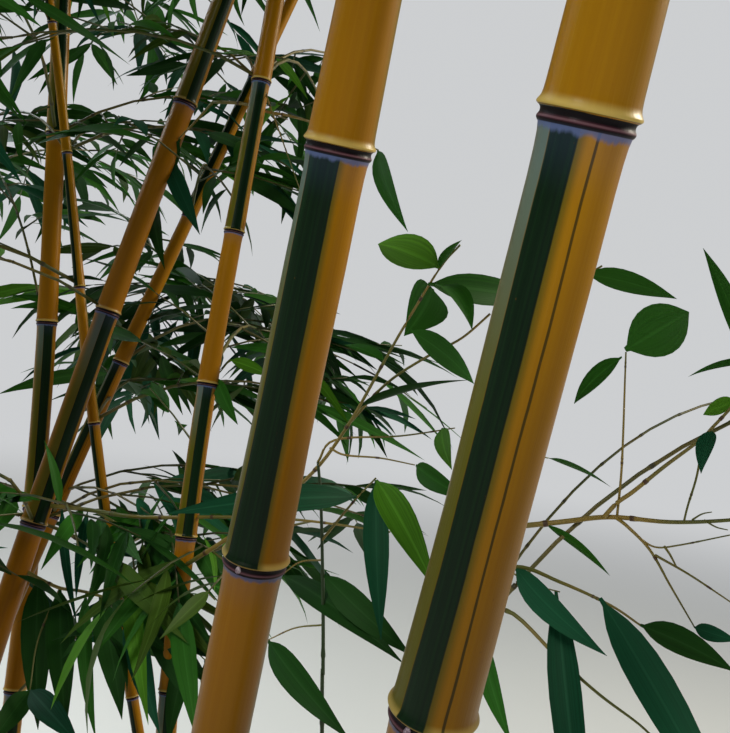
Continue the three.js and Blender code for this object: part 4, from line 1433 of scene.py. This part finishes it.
def near_leaf(store, root, tip, width, roll, bend, tint, rng):
    """A leaf that sags from its root to its tip and turns its face to the camera, but for its roll."""
    start, end = from_pixel(*root), from_pixel(*tip)
    span = end - start
    direction = unit(span)
    sight = unit((start + end) / 2 - CAMERA_PLACE)
    across = turned(unit(np.cross(sight, direction)), direction, math.radians(roll))
    if np.cross(direction, across)[2] < 0:
        across = -across
    sagging = direction * math.cos(bend / 2) + np.cross(direction, across) * math.sin(bend / 2)
    across = unit(across - sagging * across.dot(sagging))
    length = np.linalg.norm(span) * bend / 2 / math.sin(bend / 2)
    fold, twist = rng.uniform(*NEAR_FOLDS), rng.uniform(*NEAR_TWISTS)
    store.leaf(start, sagging, across, (length, width, bend, fold, twist, rng.random()), tint)


def dress_near(leaf_skins, twig_skin):
    store = Foliage()
    rng = np.random.default_rng(NEAR_SEED)
    shoot = [np.array(SHOOT_FOOT), *(from_pixel(*place) for place in SHOOT_PIXELS)]
    store.tube(smooth_line(np.array(shoot)), *SHOOT_RADII, 7, green=1.0)
    for places, first, last in NEAR_TWIGS:
        store.tube(smooth_line(np.array([from_pixel(*place) for place in places])), first, last, 7)
    for leaf in NEAR_LEAVES:
        near_leaf(store, *leaf, rng)
    store.twig_piece("twigs_near", twig_skin)
    store.leaf_piece("leaves_near", leaf_skins, (), NEAR_PROFILE, NEAR_COLUMNS)


# The pot and what fills it.
POT_SIDES = 128
POT_ROUNDING = 7
POT_ROW = 14
POT_HOLLOW = 60
POT_CENTRE = 40
CORNER_STEPS = 5
RIM_TAPER = 3
RIDGE_DEPTH = 0.5
RIDGE_SPACING = 5.3
RIDGES_FROM = 12
OVAL_DEPTH = 1.1
OVAL_TWIST = 190
SOIL_ROWS = 60
SOIL_SIDES = 160
SOIL_WAVES = (9, 17, 31, 60)
SOIL_DEPTH = 45
SOIL_MIDDLE = 0.004
SOIL_RELIEF = 0.045
SOIL_CRUMB = 1.2
SOIL_EDGE = 30
SOIL_SEED = 5


def lathe(profile, sides):
    """Points of a turned form from radii and heights, without its poles."""
    turn = turns(sides)
    radii, heights = (values[:, None] for values in np.array(profile, dtype=float).T)
    return np.stack(np.broadcast_arrays(radii * np.cos(turn), radii * np.sin(turn), heights), -1)


def pot_radius(height):
    return POT_BASE_RADIUS + (POT_TOP_RADIUS - POT_BASE_RADIUS) * height / POT_HEIGHT


def rounded(corners, radius):
    """A profile with each inner corner rounded."""
    corners = [np.array(corner, dtype=float) for corner in corners]
    profile = [corners[0]]
    for before, corner, after in zip(corners, corners[1:], corners[2:]):
        start = corner + unit(before - corner) * radius
        end = corner + unit(after - corner) * radius
        for step in range(CORNER_STEPS + 1):
            t = step / CORNER_STEPS
            profile.append(start * (1 - t) ** 2 + corner * 2 * t * (1 - t) + end * t * t)
    return [*profile, corners[-1]]


def filled_in(profile, longest):
    """The profile with more points on its long stretches."""
    full = [profile[0]]
    for start, end in zip(profile, profile[1:]):
        count = max(1, math.ceil(np.linalg.norm(end - start) / longest))
        full += [start + (end - start) * step / count for step in range(1, count + 1)]
    return full


def pot_mesh(material):
    """The pot with the slight waves that a thrown pot has."""
    rim_foot = POT_HEIGHT - RIM_HEIGHT
    rim_radius = POT_TOP_RADIUS + RIM_OVERHANG
    floor = SOIL_TOP - POT_HOLLOW
    corners = (
        (POT_CENTRE, 0), (POT_BASE_RADIUS, 0), (pot_radius(rim_foot), rim_foot),
        (rim_radius - RIM_TAPER, rim_foot), (rim_radius, POT_HEIGHT),
        (POT_TOP_RADIUS - POT_WALL, POT_HEIGHT), (pot_radius(floor) - POT_WALL, floor),
        (POT_CENTRE, floor),
    )
    profile = filled_in(rounded(corners, POT_ROUNDING), POT_ROW)
    points = lathe(profile, POT_SIDES)
    heights = points[..., 2]
    throwing = RIDGE_DEPTH * np.sin(heights / RIDGE_SPACING) * (heights > RIDGES_FROM)
    throwing = throwing + OVAL_DEPTH * np.sin(2 * turns(POT_SIDES) + heights / OVAL_TWIST)
    spread = 1 + throwing / np.maximum(sizes(points[..., :2]), 1) * (heights < POT_HEIGHT - 2)
    points[..., :2] *= spread[..., None]
    make_object("clay_pot", points, closed_faces(len(profile), POT_SIDES), [material], "clay", ["pot"],
                {"lathe": triples(heights * MM, 0, 0)})


def soil_mesh(material):
    """Lumpy soil that fills the pot, with its edge let down beside the wall."""
    rng = np.random.default_rng(SOIL_SEED)
    radius = pot_radius(SOIL_TOP) - POT_WALL - 1
    radii = radius * np.linspace(SOIL_MIDDLE, 1, SOIL_ROWS)
    points = lathe([(reach, SOIL_TOP) for reach in radii], SOIL_SIDES)
    across, along = points[..., 0], points[..., 1]
    relief = np.zeros(across.shape)
    for wave in SOIL_WAVES:
        shift = rng.uniform(0, 100, 4)
        ridges = np.sin(across / wave * 2.1 + shift[0] + 1.3 * np.sin(along / wave + shift[1]))
        furrows = np.sin(along / wave * 1.9 + shift[2] + 1.3 * np.sin(across / wave + shift[3]))
        relief += wave * SOIL_RELIEF * (ridges * furrows)
    relief += rng.uniform(-1, 1, relief.shape) * SOIL_CRUMB
    edge = np.clip((radius - sizes(points[..., :2])) / SOIL_EDGE, 0, 1)
    points[..., 2] += (relief - 1.5) * np.maximum(edge, 0.25)
    wall = points[-1:].copy()
    wall[..., 2] = SOIL_TOP - SOIL_DEPTH
    make_object("potting_soil", np.concatenate([points, wall]),
                closed_faces(SOIL_ROWS + 1, SOIL_SIDES, flipped=True), [material], "compost", ["soil"])


CHIP_COUNT = 520
FALLEN_COUNT = 46
CHIP_SEED = 9
FALLEN_SEED = 21


def free_spots(rng, count, margin, reach):
    """Places on the soil, clear of the canes and the pot's wall."""
    spots = []
    while len(spots) < count:
        place = rng.uniform(-reach, reach, 2)
        feet = min(math.dist(place, cane.foot) - cane.diameter / 2 for cane in CANES)
        if np.linalg.norm(place) < reach - margin and feet > margin:
            spots.append(place)
    return spots


def chips_mesh(material):
    """Small angular flakes of bark on the soil."""
    rng = np.random.default_rng(CHIP_SEED)
    points, faces, first = [], [], 0
    for place in free_spots(rng, CHIP_COUNT, 9, pot_radius(SOIL_TOP) - POT_WALL - 3):
        size = rng.uniform(4, 13) * np.array([1, rng.uniform(0.45, 0.8), rng.uniform(0.2, 0.4)])
        sides = int(rng.integers(5, 8))
        turn = np.sort(rng.uniform(0, FULL_TURN, sides))
        outline = np.stack([np.cos(turn) * size[0], np.sin(turn) * size[1], np.zeros(sides)], -1)
        outline[:, :2] *= rng.uniform(0.8, 1.15, (sides, 1))
        low = outline * [0.85, 0.85, 1] - [0, 0, size[2]]
        high = outline * [0.8, 0.8, 1] + [0, 0, size[2]] * rng.uniform(0.5, 1, (sides, 1))
        tilt = Matrix.Rotation(rng.uniform(-0.35, 0.35), 3, "X")
        tilt = np.array(tilt @ Matrix.Rotation(rng.uniform(0, ALMOST_A_TURN), 3, "Z"))
        points.append(np.concatenate([low, outline, high]) @ tilt + [*place, SOIL_TOP + size[2] * 0.5])
        faces += closed_faces(3, sides, first)
        first += 3 * sides
    make_object("bark_chips", np.concatenate(points), faces, [material], "compost", smooth=False)


def fallen_leaves(materials):
    """Dry leaves that lie on the soil."""
    store = Foliage()
    rng = np.random.default_rng(FALLEN_SEED)
    for place in free_spots(rng, FALLEN_COUNT, 12, pot_radius(SOIL_TOP) - POT_WALL - 45):
        heading = unit(compass(rng.uniform(0, FULL_TURN)) + UP * rng.uniform(0.0, 0.06))
        inward = -unit(np.array([*place, 0.01]))
        if heading.dot(inward) < 0:
            heading = unit(heading + 2 * abs(heading.dot(inward)) * inward)
        across = turned(unit(np.cross(UP, heading)), heading, rng.uniform(-0.25, 0.25))
        start = np.array([*place, SOIL_TOP + rng.uniform(3, 8)])
        spreads = ((60, 110), (9, 16), (0.05, 0.25), (0.1, 0.5), (-0.6, 0.6), (0, 1))
        store.leaf(start, heading, across, [rng.uniform(*spread) for spread in spreads], DRY)
    store.leaf_piece("fallen_leaves", materials)


# The camera, the lights and the room.
LIGHTS = {
    "key_light": ((-1.2, -2.4, 3.6), (0.1, 0, 1.4), 1.2, 80, (1.0, 0.97, 0.9)),
    "rim_light": ((2.8, 1.2, 2.6), (0.2, -0.1, 1.2), 1.0, 90, (1.0, 0.92, 0.76)),
    "sky_light": ((-2.4, 1.6, 3.4), (0.1, -0.1, 1.3), 2.4, 150, (0.84, 0.94, 1.0)),
}


def make_camera():
    data = bpy.data.cameras.new("view_camera")
    data.lens = LENS
    data.sensor_width = SENSOR
    data.clip_start = 0.02
    camera = bpy.data.objects.new("view_camera", data)
    columns = [*zip(CAMERA_RIGHT, CAMERA_UP, -CAMERA_FORWARD, CAMERA_PLACE * MM)]
    camera.matrix_world = Matrix([*columns, (0, 0, 0, 1)])
    bpy.context.scene.collection.objects.link(camera)
    bpy.context.scene.camera = camera


def make_light(name, place, target, size, power, colour):
    data = bpy.data.lights.new(name, "AREA")
    data.shape = "DISK"
    data.size = size
    data.energy = power
    data.color = colour
    light = bpy.data.objects.new(name, data)
    light.location = place
    light.rotation_euler = (Vector(target) - Vector(place)).to_track_quat("-Z", "Y").to_euler()
    bpy.context.scene.collection.objects.link(light)


def make_studio():
    """A pale floor and backdrop, with soft light from three sides and a little from all round."""
    rim = lathe([(FLOOR_REACH, 0)], FLOOR_SIDES)
    floor = make_object("studio_floor", rim, [np.arange(FLOOR_SIDES)[None]], [floor_material()], None)
    world = bpy.data.worlds.new("studio_air")
    world.use_nodes = True
    tree = world.node_tree
    lighting = tree.nodes["Background"]
    seen = tree.nodes.new("ShaderNodeBackground")
    for background, strength in ((lighting, BACKDROP_LIGHT), (seen, BACKDROP_SEEN)):
        background.inputs["Color"].default_value = BACKDROP
        background.inputs["Strength"].default_value = strength
    path = tree.nodes.new("ShaderNodeLightPath")
    choice = tree.nodes.new("ShaderNodeMixShader")
    tree.links.new(path.outputs["Is Camera Ray"], choice.inputs[0])
    tree.links.new(lighting.outputs[0], choice.inputs[1])
    tree.links.new(seen.outputs[0], choice.inputs[2])
    tree.links.new(choice.outputs[0], tree.nodes["World Output"].inputs["Surface"])
    bpy.context.scene.world = world
    bpy.context.scene.view_settings.view_transform = "Standard"
    for name, settings in LIGHTS.items():
        make_light(name, *settings)


def build_plant():
    leaf_skins = [leaf_material(name, tint) for name, tint in LEAF_TINTS.items()]
    twig_skin = twig_material()
    masses = all_masses()
    for number, cane in enumerate(CANES):
        band, line = CANE_BANDS.get(cane.name, OTHER_BAND)
        # The painted shade of each cane.
        foot_shade_share = FOOT_SHADE_SHARES.get(cane.name, OTHER_FOOT_SHADE_SHARE)
        weathered_and_shaded = WEATHERED_AND_SHADED.get(cane.name, 0)
        cane_mesh(cane, cane_material(f"{cane.name}_skin", band, line, foot_shade_share, weathered_and_shaded))
        store = Foliage()
        own = [(index, mass) for index, mass in enumerate(masses) if mass.cane is cane]
        for index, mass in own:
            dress_mass(store, mass, masses, FIRST_SEED + index)
        dress_nodes(store, cane, masses, FIRST_NODE_SEED + number)
        store.twig_piece(f"twigs_{cane.name}", twig_skin)
        store.leaf_piece(f"leaves_{cane.name}", leaf_skins, [mass.name for _, mass in own])
    bud_mesh(CANES[:2], bud_material())
    dress_near(leaf_skins, twig_skin)
    pot_mesh(clay_material())
    soil_mesh(soil_material())
    chips_mesh(chip_material())
    fallen_leaves(leaf_skins)


make_camera()
build_plant()
make_studio()
